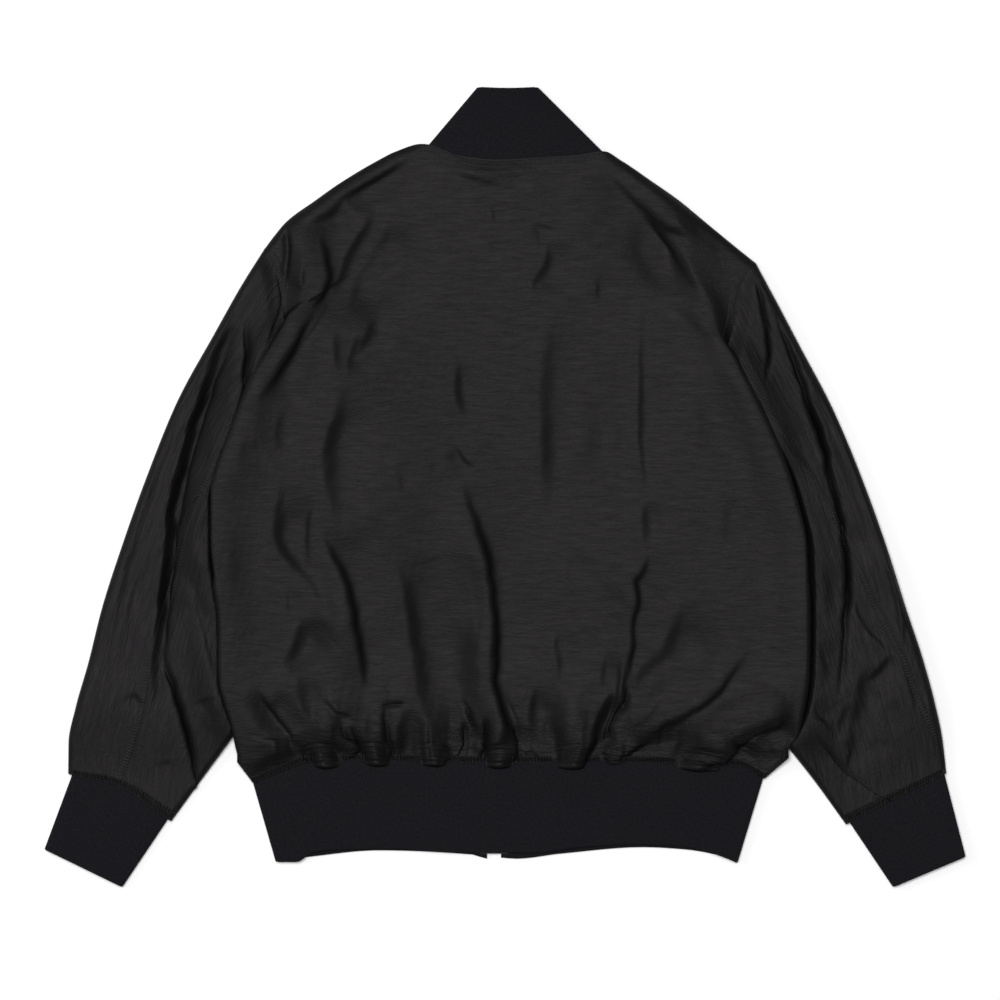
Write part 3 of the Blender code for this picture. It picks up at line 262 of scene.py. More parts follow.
# Creases: width is how far a crease's dark slope reaches to each side, depth how deep a valley it
# is (a ridge below nothing), step how much higher the cloth stands left of it than right of it, all
# in millimetres, and path the photograph's pixels that it runs through
BACK_CREASES = table(Crease, (
    # the long sharp crease down the middle and what meets it
    (2.2, 2.6, -1.0, ((449, 443), (458, 450), (466, 461), (478, 470))),
    (3.4, 2.0, 5.0, ((462, 470), (466, 490), (474, 515), (481, 540), (486, 560), (490, 590),
     (493, 620), (494, 650), (493, 680), (498, 705), (503, 722), (512, 748), (514, 766))),
    (1.7, 0.8, 0.0, ((465, 555), (470, 580), (475, 610), (476, 645))),
    (1.6, 0.8, 0.0, ((431, 473), (440, 468), (449, 466))),
    (2.8, 2.5, 0.3, ((458, 355), (459, 388), (463, 410), (466, 424))),
    # down the left side
    (4.6, 4.3, 0.4, ((345, 374), (344, 395), (340, 420), (334, 435), (331, 460), (332, 480),
     (336, 510), (340, 535))),
    (3.6, 3.2, 0.2, ((337, 325), (336, 350), (342, 378))),
    (3.0, 2.2, 0.3, ((360, 330), (354, 350), (347, 380))),
    (3.2, 3.2, 0.6, ((282, 472), (281, 500), (279, 522), (284, 545), (294, 562), (308, 578),
     (321, 600), (327, 618), (330, 634))),
    (2.5, 2.2, -1.2, ((319, 500), (311, 512), (309, 530), (308, 548), (306, 568))),
    (2.9, 1.8, 3.6, ((320, 526), (328, 545), (338, 567), (345, 585), (350, 605), (354, 625),
     (358, 645), (362, 665), (366, 692))),
    (1.6, 0.6, 0.0, ((398, 462), (400, 480), (404, 496))),
    (4.2, 3.8, 0.5, ((398, 540), (400, 565), (405, 580), (410, 600), (415, 635), (420, 660),
     (425, 690), (431, 718), (436, 740), (438, 758))),
    (1.8, 1.0, 0.0, ((286, 588), (289, 605), (291, 622))),
    (4.4, 4.8, 0.2, ((308, 612), (301, 636), (292, 657), (284, 675))),
    (4.2, 3.4, 0.0, ((302, 668), (303, 695), (308, 710), (316, 732))),
    (1.8, 1.0, -2.4, ((255, 686), (266, 700), (277, 715), (287, 727), (296, 740), (304, 752))),
    (1.5, 0.8, -1.4, ((304, 750), (286, 744), (265, 739), (246, 735))),
    (6.5, 6.0, 0.0, ((240, 702), (256, 712), (276, 730), (298, 752))),
    (1.3, 0.7, 0.0, ((313, 662), (322, 675), (328, 685))),
    (2.0, 2.2, 1.8, ((357, 722), (350, 715), (338, 712), (329, 704), (319, 698))),
    (2.6, 3.6, 0.0, ((329, 726), (338, 735), (345, 743), (353, 755))),
    (4.8, 7.0, 0.0, ((349, 728), (351, 745), (347, 764))),
    (1.6, 2.2, 0.4, ((411, 707), (402, 702), (392, 702), (384, 703), (376, 709))),
    (2.0, 4.0, 0.6, ((386, 704), (383, 718), (385, 735), (389, 750), (390, 764))),
    (4.2, 4.6, 0.0, ((412, 704), (405, 720), (399, 737), (393, 762))),
    (1.2, 0.7, 0.0, ((381, 688), (388, 692), (395, 695))),
    (2.4, 1.3, 0.0, ((451, 673), (456, 690), (462, 705))),
    (1.8, 4.0, 0.0, ((460, 697), (467, 715), (473, 732), (479, 750))),
    (4.2, 7.5, 1.0, ((462, 716), (460, 735), (454, 750), (446, 766))),
    (3.4, 5.4, 0.0, ((482, 714), (481, 735), (477, 760))),
    (1.2, 1.0, 0.0, ((500, 752), (494, 750), (487, 746))),
    # down the right side
    (5.4, 4.6, 0.0, ((556, 298), (553, 330), (550, 400), (548, 460), (547, 528))),
    (3.2, 1.1, 0.0, ((577, 548), (570, 565), (564, 584))),
    (2.8, 1.5, 0.8, ((560, 622), (557, 645), (560, 665), (557, 690))),
    (1.3, 1.0, -0.4, ((549, 661), (536, 656), (526, 651))),
    (2.6, 1.8, 0.0, ((606, 648), (604, 668), (602, 690))),
    (7.0, 10.0, 1.5, ((618, 688), (607, 705), (600, 725), (594, 745), (588, 768))),
    (1.8, -2.2, 0.0, ((623, 650), (622, 680), (619, 700), (610, 725), (601, 747))),
    (2.6, 4.2, 0.0, ((628, 684), (621, 705), (615, 722), (606, 740))),
    (2.0, 1.8, 0.3, ((643, 300), (642, 350), (641, 440), (644, 480), (644, 505))),
    (3.4, 2.6, 0.4, ((645, 498), (645, 530), (646, 552))),
    (2.2, 1.6, 2.4, ((648, 546), (647, 560), (641, 572), (634, 582), (637, 600), (633, 618),
     (632, 640), (629, 660), (626, 690))),
    (4.8, 5.0, 0.0, ((684, 592), (677, 630), (665, 655), (648, 670), (635, 685), (622, 704))),
    (1.5, 1.3, 0.0, ((685, 675), (672, 690), (660, 702), (648, 716), (630, 732), (617, 747))),
    (3.4, 4.0, 0.5, ((761, 640), (745, 656), (735, 668), (722, 684), (710, 697), (690, 710),
     (672, 720), (655, 728), (645, 738), (632, 748), (618, 759))),
    (2.4, 2.6, 0.0, ((692, 711), (672, 728), (657, 742))),
    (6.4, 7.6, 4.0, ((800, 716), (775, 722), (757, 728), (740, 738), (725, 750), (712, 762),
     (698, 778))),
    (3.6, 5.0, 0.0, ((768, 724), (746, 734), (726, 748), (708, 766))),
    (4.4, 1.2, 0.0, ((728, 490), (727, 520), (724, 552))),
    (3.4, 3.4, 0.0, ((537, 680), (534, 705), (533, 725), (536, 752))),
    (3.4, 5.6, 0.0, ((509, 726), (512, 748), (513, 768))),
    (2.2, 2.4, 0.0, ((545, 712), (544, 735), (542, 760))),
    (1.3, 1.5, 0.0, ((543, 729), (522, 727), (503, 730))),
    (1.3, 1.6, 0.0, ((541, 740), (525, 737), (509, 739))),
    (1.3, 1.8, 0.0, ((544, 749), (528, 751), (512, 747))),
    (1.5, -1.5, 0.0, ((505, 692), (511, 708), (517, 722), (522, 742))),
    (1.6, 1.2, 0.0, ((640, 757), (652, 750), (662, 742))),
    # at the shoulders and under the neck
    (3.2, 3.6, -1.8, ((601, 166), (612, 178), (627, 192), (643, 207), (660, 220), (680, 232),
     (700, 242), (716, 250))),
    (3.4, 4.0, -1.6, ((632, 208), (650, 222), (664, 236), (676, 252), (686, 268), (694, 285),
     (701, 302))),
    (4.4, 5.0, 0.4, ((682, 236), (705, 244), (730, 254))),
    (2.2, 1.6, 0.0, ((700, 260), (715, 266), (735, 263), (752, 262))),
    (3.6, 4.2, 0.6, ((416, 154), (400, 163), (380, 174), (360, 184), (345, 196), (333, 210))),
    (4.8, 5.6, 0.8, ((345, 198), (331, 212), (318, 219), (300, 228))),
    (3.0, 5.4, -2.2, ((288, 220), (290, 240), (289, 262), (284, 292))),
    (2.6, 1.6, 2.8, ((319, 232), (325, 255), (328, 275), (322, 295), (311, 313))),
    (1.8, 1.8, 0.0, ((304, 262), (303, 280), (301, 298))),
    (3.4, 3.6, 0.6, ((318, 305), (305, 325), (292, 347), (275, 375), (257, 406))),
    (1.8, 1.2, 0.0, ((330, 300), (316, 325), (298, 352))),
    (4.4, 4.6, 0.3, ((396, 211), (388, 235), (374, 262), (358, 290), (345, 324))),
    (2.8, 3.1, 0.2, ((382, 199), (372, 217), (357, 245), (343, 275), (330, 306))),
    (3.2, 2.2, 0.2, ((386, 305), (371, 329), (357, 362))),
    (2.0, 1.0, 0.0, ((322, 390), (298, 400), (286, 395))),
    (4.0, 2.8, 0.2, ((284, 406), (279, 432), (278, 457))),
    (3.0, 1.0, 0.0, ((262, 440), (250, 446), (240, 444))),
    (2.0, 2.3, 0.3, ((535, 172), (505, 174), (475, 172))),
    (2.4, 2.8, 0.3, ((515, 186), (480, 179), (462, 174), (447, 166))),
    (2.0, 1.0, 0.0, ((490, 203), (493, 213), (494, 224))),
    (1.5, 0.8, 0.0, ((508, 245), (496, 242), (484, 245))),
    (2.4, 2.8, 0.4, ((559, 234), (550, 227), (538, 225), (527, 228))),
    (3.4, 3.6, 0.3, ((549, 236), (549, 255), (544, 270), (537, 282), (531, 294))),
    (1.9, 1.4, 0.0, ((597, 275), (597, 304))),
    (4.0, 0.8, 0.0, ((607, 420), (608, 450), (606, 480))),
    (5.0, 0.9, 0.0, ((700, 380), (704, 420), (702, 470))),
    (3.6, 0.9, 0.0, ((232, 520), (236, 560), (233, 600))),
    (2.0, 0.8, 0.0, ((262, 555), (274, 572), (286, 578))),
))
SLEEVE_CREASES = table(Crease, (
    # left sleeve
    (2.6, 4.0, 0.0, ((275, 262), (277, 295), (271, 330), (262, 352))),
    (6.4, 13.0, 1.0, ((237, 308), (228, 335), (214, 365), (202, 400), (192, 430), (184, 460),
     (177, 490), (171, 520), (168, 550), (165, 580), (161, 610), (158, 640), (156, 665),
     (154, 695), (148, 720))),
    (3.2, 6.5, 0.0, ((160, 648), (166, 675), (172, 700), (180, 730), (185, 755), (193, 788))),
    (4.8, 8.5, 0.0, ((245, 316), (242, 345), (239, 375), (236, 405), (231, 434))),
    (2.0, 2.2, 0.0, ((233, 320), (217, 350), (200, 382))),
    (2.0, 1.5, 0.0, ((182, 415), (165, 460), (148, 505), (130, 565), (115, 620), (104, 662))),
    (1.8, 1.0, 0.0, ((196, 360), (178, 405), (160, 452))),
    (1.8, 0.8, 0.0, ((150, 520), (136, 580), (126, 640), (120, 700))),
    (2.4, 2.2, 0.0, ((205, 503), (200, 530), (193, 562))),
    (2.6, 2.4, 0.8, ((184, 560), (190, 585), (197, 615), (207, 655), (218, 692))),
    (2.2, 2.2, 0.0, ((178, 770), (168, 763), (158, 764), (149, 776))),
    (1.9, 1.8, 0.0, ((220, 698), (204, 699), (191, 706))),
    (1.8, 1.6, 0.0, ((147, 704), (140, 700), (134, 690))),
    (2.6, 1.4, 0.0, ((214, 478), (208, 440), (216, 398))),
    (2.4, 0.8, 0.0, ((110, 700), (104, 735), (102, 765))),
    # right sleeve
    (3.0, 5.0, 0.0, ((752, 272), (757, 300), (762, 330), (764, 360), (763, 388))),
    (3.2, 9.0, 0.6, ((768, 288), (776, 320), (785, 345), (797, 380), (808, 420), (818, 450),
     (826, 480), (834, 510), (839, 540), (842, 570), (843, 600), (842, 640), (838, 680),
     (836, 717))),
    (3.4, 2.6, 0.0, ((868, 660), (862, 690), (856, 715), (850, 747))),
    (2.4, 3.2, 0.0, ((811, 726), (822, 745), (835, 765), (852, 782), (872, 795), (889, 803))),
    (2.0, 2.2, 0.0, ((800, 746), (815, 765), (832, 785), (848, 802))),
    (1.7, 1.8, 0.4, ((853, 588), (857, 610), (865, 628), (880, 643), (893, 656))),
    (2.6, -1.8, 0.0, ((880, 538), (888, 565), (896, 590), (901, 620), (904, 652))),
    (2.0, 1.2, 0.0, ((889, 737), (883, 742), (875, 736))),
    (2.0, 1.2, 0.0, ((800, 372), (814, 405), (836, 455), (858, 515))),
    (1.8, 1.0, 0.0, ((790, 330), (806, 368), (828, 420))),
    (2.0, 1.6, 0.4, ((772, 428), (790, 447), (812, 474))),
    (2.6, 2.4, 0.3, ((893, 652), (880, 668), (866, 684))),
    (3.0, 3.4, 0.4, ((812, 700), (818, 716), (830, 728), (836, 744))),
    (2.0, 2.0, 0.2, ((806, 716), (822, 720), (838, 716))),
    (2.4, 2.4, 0.2, ((846, 700), (840, 722), (836, 742))),
    (2.4, 1.8, 0.2, ((902, 668), (912, 692), (918, 716))),
    (2.4, 1.8, 0.2, ((880, 700), (886, 720), (894, 738))),
    (2.6, 2.4, 0.3, ((848, 520), (846, 548), (852, 576))),
    (3.0, 1.8, 0.2, ((820, 560), (828, 590), (830, 625))),
    (3.0, 2.0, 0.2, ((816, 640), (824, 664), (826, 690))),
))
HEM_PUFFS = table(Puff, (
    (-169, 15, 7, 19), (-121, 13, 5, 17), (-66, 15, 4, 17), (-6, 13, 5, 17), (62, 18, 6, 18),
    (103, 14, 2, 15), (188, 27, 7, 20),
))

COLLAR_TOP_LEFT, COLLAR_TOP_RIGHT = Point(-26, 380), Point(31, 380)
COLLAR_BASE_LEFT, COLLAR_BASE_RIGHT = Point(-72, 326), Point(92, 320)
COLLAR_HEIGHT = 65
HEM_CORNER_LEFT, HEM_CORNER_RIGHT = Point(-218, -357), Point(221, -358)
HEM_TURN_LEFT, HEM_TURN_RIGHT = Point(-239, -285), Point(245, -283)
HEM_BACK = table(Point, (
    (-218, -357), (-198, -357), (-183, -348), (-158, -345), (-116, -344), (-34, -348), (25, -348),
    (81, -342), (122, -340), (160, -341), (189, -346), (209, -353), (221, -358),
))
HEM_FRONT = table(Point, (
    (-218, -357), (-185, -352), (-120, -346), (-31, -350), (-17, -354), (-4, -353), (10, -354),
    (54, -349), (131, -343), (170, -345), (200, -350), (221, -358),
))
CUFF_LEFT = Cuff(Point(-412, -275), Point(-321, -317), Point(-438, -345), Point(-364, -381))
LEFT_CUFF_BOW = 10.0        # how far the seam of the left cuff is pulled up in its middle
CUFF_RIGHT = Cuff(Point(418, -274), Point(328, -320), Point(438, -352), Point(369, -381))


def seen(point):
    """Millimetres of a point that is given as the photograph's pixel."""
    return (point[0] - ORIGIN_X) * PIXEL, (ORIGIN_Y - point[1]) * PIXEL


def ease(value, start, end):
    """0 at the start, 1 at the end and level at both; the end may be the lower number."""
    share = np.clip((value - start) / (end - start), 0.0, 1.0)
    return share * share * (3.0 - 2.0 * share)


def curve(inputs, outputs):
    """A smooth curve through pairs of numbers, which never overshoots them."""
    xs, ys = (np.array(numbers, dtype=float) for numbers in (inputs, outputs))
    order = np.argsort(xs)
    xs, ys = xs[order], ys[order]
    steps = np.diff(xs)
    slopes = np.diff(ys) / steps
    tangents = np.zeros(len(xs))
    tangents[0], tangents[-1] = slopes[0], slopes[-1]
    same_way = slopes[:-1] * slopes[1:] > 0
    total = np.where(same_way, slopes[:-1] + slopes[1:], 1.0)
    tangents[1:-1] = np.where(same_way, 2.0 * slopes[:-1] * slopes[1:] / total, 0.0)

    def at(value):
        value = np.clip(value, xs[0], xs[-1])
        i = np.clip(np.searchsorted(xs, value, side="right") - 1, 0, len(xs) - 2)
        t = (value - xs[i]) / steps[i]
        start = (1 + 2 * t) * (1 - t) ** 2 * ys[i] + t * (1 - t) ** 2 * steps[i] * tangents[i]
        end = t * t * (3 - 2 * t) * ys[i + 1] + t * t * (t - 1) * steps[i] * tangents[i + 1]
        return start + end

    return at


def column(rows, across, down):
    """The curve of one named column of a table over another."""
    return curve([getattr(row, across) for row in rows], [getattr(row, down) for row in rows])


def smooth_path(points, steps=8):
    """Points along a smooth line through a crease's path, in millimetres."""
    ends = np.array([seen(point) for point in points])
    lengths = np.concatenate(([0.0], np.cumsum(np.hypot(*np.diff(ends, axis=0).T))))
    at = np.linspace(0.0, lengths[-1], steps * (len(points) - 1) + 1)
    return curve(lengths, ends[:, 0])(at), curve(lengths, ends[:, 1])(at), at / lengths[-1]


DEPTH_SCALE = 1.2           # the tables' depths were read off a little too shallow
WIDTH_SCALE = 1.3           # and their widths a little too narrow
STEEP = 1.2                 # a crease deeper than this many of its widths is a narrow slot
STEP_REACH = 34.0           # how far the cloth takes to come back to its height beside a fold
WIDE_SLOT = 6.0             # a slot wider than this shows its slope and hides its low side
FOOT, TAIL = 1.6, 1.9       # where a fold's slope starts and how long it runs out, in widths


def along_fold(line, px, py):
    """Distance from a fold's line (above nothing on its left), how far along, and its way."""
    line_x, line_y, line_t = line
    nearest = np.full(px.shape, 1e9)
    along, side = np.zeros(px.shape), np.ones(px.shape)
    way_x, way_y = np.zeros(px.shape), np.ones(px.shape)
    for i in range(len(line_x) - 1):
        run_x, run_y = line_x[i + 1] - line_x[i], line_y[i + 1] - line_y[i]
        off_x, off_y = px - line_x[i], py - line_y[i]
        share = np.clip((off_x * run_x + off_y * run_y) / (run_x ** 2 + run_y ** 2), 0, 1)
        gap = np.hypot(off_x - share * run_x, off_y - share * run_y)
        closer = gap < nearest
        run = np.hypot(run_x, run_y)
        nearest = np.where(closer, gap, nearest)
        along = np.where(closer, line_t[i] + share * (line_t[i + 1] - line_t[i]), along)
        side = np.where(closer, np.sign(off_x * run_y - off_y * run_x), side)
        way_x, way_y = np.where(closer, run_x / run, way_x), np.where(closer, run_y / run, way_y)
    return nearest * side, along, way_x, way_y


def each_fold(creases, x, y):
    """For each crease: which points lie near it, how far to its low side in widths, and more."""
    wander_x, wander_y = 1.5 * ripple(x, y, 11, 30), 1.5 * ripple(x, y, 12, 30)
    for crease, line in creases:
        length = np.hypot(np.diff(line[0]), np.diff(line[1])).sum()
        slot = crease.depth > STEEP * crease.width
        size = 0.6 + 0.4 * ease(length, 30.0, 110.0)
        fade = min(STEP_REACH, 9.0 + 0.15 * length)
        reach = 2.2 * fade + 5.0 * crease.width
        taper = 0.28 if abs(crease.step) > 2 else 0.42
        near = ((x > line[0].min() - reach) & (x < line[0].max() + reach)
                & (y > line[1].min() - reach) & (y < line[1].max() + reach))
        if not near.any():
            continue
        px, py = x[near] + wander_x[near], y[near] + wander_y[near]
        left, along, way_x, way_y = along_fold(line, px, py)
        goes_on = line[1][-1] < seen((0, GATHER_PIXEL))[1]
        ends = ease(along, 0.0, taper) * (1.0 if goes_on else ease(along, 1.0, 1.0 - taper))
        ends = ends * (1.0 + 0.6 * ripple(px, py, 13, 50))
        lean = -1.0 if crease.step < 0 else 1.0
        width = crease.width * (1.0 if slot else WIDTH_SCALE * size) * (0.6 + 0.4 * ends)
        yield crease, near, -lean * left / width, width, (
            slot, fade, ends * (1.0 if slot else size)), (-lean * way_y, lean * way_x)


def crease_height(creases, x, y):
    """How far the creases raise or lower the cloth at each point."""
    height = np.zeros(x.shape)
    for crease, near, low, width, (slot, fade, ends), _ in each_fold(creases, x, y):
        if crease.depth < 0:
            height[near] -= ends * crease.depth * np.exp(-low ** 2) * DEPTH_SCALE
            continue
        rise = abs(crease.step)
        foot, tail = (0.7, 0.9) if slot else (FOOT, TAIL)
        if slot and crease.width > WIDE_SLOT:
            foot, tail = 1.0, 1.2
        fall = 1.0 - np.exp(-(np.maximum(low + foot, 0.0) / tail) ** 2)
        above = np.exp(-(np.maximum(-low - foot, 0.0) * width / STEP_REACH * 1.6) ** 2)
        back = 1.5 * width if slot else fade
        below = np.exp(-(np.maximum(low - foot, 0.0) * width / back) ** 2)
        shape = (rise * above - (rise + crease.depth) * fall) * below
        height[near] += ends * shape * DEPTH_SCALE
    return height


def pull_lips(creases, grid, share):
    """Pulls the high side of each sharp fold over its valley, so that it hides the bottom."""
    x, y = grid[..., 0].copy(), grid[..., 1].copy()
    for crease, near, low, width, (slot, _, ends), (to_x, to_y) in each_fold(creases, x, y):
        if abs(crease.step) + crease.depth < STEEP * crease.width:
            continue
        if slot and crease.width > WIDE_SLOT:
            pull = -1.3 * np.exp(-((low - 2.4) / 0.9) ** 2)
        elif slot:
            pull = 1.5 * np.exp(-((low + 0.2) / 0.8) ** 2)
        else:
            pull = 0.9 * np.exp(-((low + 0.8) / 1.3) ** 2)
        pull = pull * width * np.clip(ends, 0.0, 1.0) * share[near]
        grid[..., 0][near] += pull * to_x
        grid[..., 1][near] += pull * to_y


def laid_out(creases):
    """Each crease with the smooth line that it runs along."""
    return [(crease, smooth_path(crease.path)) for crease in creases]


def rim(distance, radius):
    """Height of a round edge, as a share of its radius, at a distance in from the edge."""
    inside = np.clip(distance / radius, 0.0, 1.0)
    return np.sqrt(1.0 - (1.0 - inside) ** 2)


def ripple(x, y, seed, size, rows=5):
    """Soft uneven waves about one millimetre high, the same on each run."""
    wave = np.zeros(np.broadcast(x, y).shape)
    numbers = np.random.default_rng(seed)
    for _ in range(rows):
        angle, phase = numbers.uniform(0, pi), numbers.uniform(0, 2 * pi)
        length = size * numbers.uniform(0.6, 1.6)
        wave = wave + np.sin((x * np.cos(angle) + y * np.sin(angle)) * 2 * pi / length + phase)
    return wave / rows


class Half:
    """The curves of one side of the jacket; sign is -1 on the left and 1 on the right."""

    def __init__(self, sign, side, armhole, sleeve, rolled_from, rolled_to):
        self.sign = sign
        self.edge = column(side, "y", "x")
        self.crest_top = column(side, "y", "top")
        self.armhole = column(armhole, "y", "x")
        inner = [(row.inner_y, row.inner_x) for row in sleeve[1:]]
        whole = [(point.y, point.x) for point in armhole] + inner
        self.boundary = curve([y for y, _ in whole], [x for _, x in whole])
        self.rolled_from, self.rolled_to = rolled_from, rolled_to
        t = np.linspace(0.0, 1.0, len(sleeve))
        self.station = {name: curve(t, [getattr(row, name) for row in sleeve])
                        for name in Station._fields}
        first = sleeve[0]
        self.first_line = curve([first.inner_y, first.outer_y], [first.inner_x, first.outer_x])

    def across(self, t):
        """The outer and inner end of the sleeve at a share of its length, and its width there."""
        outer_x, outer_y, inner_x, inner_y = (
            self.station[name](t) for name in ("outer_x", "outer_y", "inner_x", "inner_y"))
        return outer_x, outer_y, inner_x, inner_y, np.hypot(inner_x - outer_x, inner_y - outer_y)

    def rolled(self, y):
        """0 where the side is a ridge inside the armhole, 1 where it rolls over the sleeve."""
        return ease(y, self.rolled_from, self.rolled_to)

    def past(self, x, y):
        """How far a point lies inside the sleeve's outline, past the armhole or inner edge."""
        return self.sign * (x - self.boundary(y))


LEFT = Half(-1, SIDE_LEFT, ARMHOLE_LEFT, SLEEVE_LEFT, 190, 132)
RIGHT = Half(1, SIDE_RIGHT, ARMHOLE_RIGHT, SLEEVE_RIGHT, 180, 104)
top_edge = column(TOP_EDGE, "x", "y")
hem_seam = column(HEM_SEAM, "x", "y")


def gathered_creases(count, seed):
    """Short uneven creases that rise from the hem seam, between those listed."""
    numbers = np.random.default_rng(seed)
    made = []
    for x in np.linspace(-224, 234, count):
        x = x + numbers.uniform(-4, 4)
        length, lean = numbers.uniform(12, 52), 0.3 * x / 240 + numbers.uniform(-0.22, 0.22)
        path = [(ORIGIN_X + (x + lean * length * up) / PIXEL,
                 ORIGIN_Y - (hem_seam(x) + 1.0 + length * up) / PIXEL)
                for up in (1.0, 0.6, 0.3, 0.0)]
        made.append(Crease(numbers.uniform(0.9, 1.9), numbers.uniform(0.5, 1.6),
                           numbers.choice((-0.1, 0.1)), path))
    return made


def height_field(creases, low, high):
    """The creases' heights on an even net of points a millimetre apart."""
    across, up = np.meshgrid(np.arange(low.x, high.x, 1.0), np.arange(low.y, high.y, 1.0))
    return low, crease_height(creases, across, up)


def read_off(field, x, y):
    """The height of a field at points between those of its net."""
    low, heights = field
    u = np.clip(x - low.x, 0.0, heights.shape[1] - 1.001)
    v = np.clip(y - low.y, 0.0, heights.shape[0] - 1.001)
    i, j = np.asarray(u).astype(int), np.asarray(v).astype(int)
    u, v = u - i, v - j
    return ((heights[j, i] * (1 - u) + heights[j, i + 1] * u) * (1 - v)
            + (heights[j + 1, i] * (1 - u) + heights[j + 1, i + 1] * u) * v)


BACK_LINES = laid_out(BACK_CREASES + tuple(gathered_creases(44, 4)))
SLEEVE_LINES = laid_out(SLEEVE_CREASES)
BACK_FOLDS = height_field(BACK_LINES, Point(-305, -300), Point(305, 335))
SLEEVE_FOLDS = height_field(SLEEVE_LINES, Point(-430, -335), Point(430, 240))


def front_height(x, y):
    """Underside of the fronts: flat, but lifted where they cross a tucked sleeve."""
    half_lift = [ease(half.past(x, y), -38, -10) for half in (LEFT, RIGHT)]
    return SIDE_LIFT * np.maximum(*half_lift) * ease(y, 30, -50)


def body_lift(x, y):
    """How far the tucked sleeves and the turned-under sides lift the back."""
    half_lift = [ease(half.past(x, y), -180, -6) * half.rolled(y) for half in (LEFT, RIGHT)]
    return 9.0 * np.maximum(*half_lift) * ease(y, -285, -240)


def drape(x, y):
    """The soft unevenness of the back, in long waves that deepen towards the gathered hem."""
    deeper = 0.4 + 0.9 * ease(y, 40, -240)
    return (0.7 * ripple(x, y, 3, 90) + 1.1 * deeper * ripple(x, 0.2 * y, 21, 52)
            + 0.18 * deeper * ripple(x, 0.4 * y, 22, 12))


def back_height(x, y, crests):
    """Top of the back panel between its two crests."""
    base = (REST + body_lift(x, y) + BLOUSE * ease(y, -135, -225)
            + 3.0 * np.exp(-((x + 10) / 40) ** 2 - ((y - 290) / 24) ** 2))
    for crest_x, crest_top in crests:
        near = np.exp(-((x - crest_x) / 30.0) ** 2)
        base = base + (crest_top - base) * near
    lowest = front_height(x, y) + 3.0 + CLOTH
    lowest = np.maximum(lowest, 3.4 + 0.9 * body_lift(x, y))
    above = y - hem_seam(x)
    tube = PUFF_LIFT * puff_share(x, 1.0 + 0.9 * ease(above, 15, 70))[0] * ease(above, 85, 15)
    height = base + read_off(BACK_FOLDS, x, y) + drape(x, y) + tube
    return lowest + SOFT_FLOOR * np.logaddexp(0.0, (height - lowest) / SOFT_FLOOR)


def back_top(x):
    return top_edge(x) - SEAM_GAP


def on_edge(edge, share, start):
    """The point of an edge x(y) that lies a share of the way from the top edge to the hem."""
    y = start
    for _ in range(60):
        x = edge(y)
        y = 0.5 * y + 0.5 * (top_edge(x) * (1 - share) + hem_seam(x) * share)
    return x, y


def side_end(half, y):
    """Where the back's edge lies: on the armhole, or below the underarm at the side seam."""
    below = ease(y, -60, -110)
    turned = half.edge(y) - half.sign * (ROLL + 10.0)
    return half.armhole(y) * (1 - below) + turned * below


def bezier(t, start, near, far, end):
    """A cubic Bezier curve."""
    return ((1 - t) ** 3 * start + 3 * t * (1 - t) ** 2 * near + 3 * t * t * (1 - t) * far
            + t ** 3 * end)


def side_columns(half, share, t):
    """Points of one row of the back from the crest out and, lower down, round and under."""
    crest_x, crest_y = on_edge(lambda y: half.edge(y) - half.sign * ROLL * half.rolled(y), share,
                               100.0)
    end_x, end_y = on_edge(lambda y: side_end(half, y), share, crest_y)
    rolled = half.rolled(crest_y)
    gap = half.sign * (end_x - crest_x)
    crest_z = half.crest_top(crest_y)
    turned_z = TURNED_Z + (front_height(end_x, end_y) - TURNED_Z) * ease(end_y, -50, -90)
    end_z = ARMHOLE_TOP * (1 - rolled) + turned_z * rolled
    near_x = crest_x + half.sign * (0.35 * gap * (1 - rolled) + 8.0 * rolled)
    reach = 0.35 * max(gap, 6.0) * (1 - rolled) + max(10.0 - gap, 6.0) * rolled
    far_x = end_x - half.sign * reach * np.cos(pi * rolled)
    far_z = end_z + 0.6 * reach * np.sin(pi * rolled)
    x = bezier(t, crest_x, near_x, far_x, end_x - half.sign * 0.1)
    z = bezier(t, crest_z, crest_z, far_z, end_z)
    y = crest_y + (end_y - crest_y) * t
    flat_y = back_top(x) * (1 - share) + hem_seam(x) * share
    y = flat_y * (1 - rolled) + y * rolled
    z = z + (read_off(BACK_FOLDS, x, y) + drape(x, y)) * (1 - t) * (1 - t * rolled)
    z = np.maximum(z, bezier(t, end_z + 5.2, end_z + 5.2, far_z, end_z) - 9.0 * (1 - rolled))
    return x, y, z


OUTWARD = np.linspace(0.0, 1.0, 23)


def back_row(share, core):
    """One row of the back, from its left edge to its right edge."""
    left = side_columns(LEFT, share, OUTWARD)
    right = side_columns(RIGHT, share, OUTWARD)
    crests = ((left[0][0], LEFT.crest_top(left[1][0])), (right[0][0], RIGHT.crest_top(right[1][0])))
    x = left[0][0] + (right[0][0] - left[0][0]) * core[1:-1]
    y = back_top(x) * (1 - share) + hem_seam(x) * share
    z = back_height(x, y, crests)
    row = [np.concatenate((left[i][::-1], middle, right[i])) for i, middle in enumerate((x, y, z))]
    return round_shoulders(*row, share)


def round_shoulders(x, y, z, share):
    """Brings the back down to the front at the shoulder seams, and level to the neck seam."""
    from_top = (back_top(x) - y) * 0.8
    from_top = np.where(from_top > EDGE_ROUND, 1e3, np.maximum(from_top, 0.0))
    neck = ease(x, -92, -72) * ease(x, 104, 90)
    shoulder_z = SHOULDER_EDGE + (z - SHOULDER_EDGE) * rim(from_top, EDGE_ROUND)
    neck_z = RIB_TOP + (z - RIB_TOP) * ease(from_top, 0.0, 12.0)
    rounded = shoulder_z * (1 - neck) + neck_z * neck
    return np.stack((x, y, rounded if share < 0.2 else z), axis=-1)


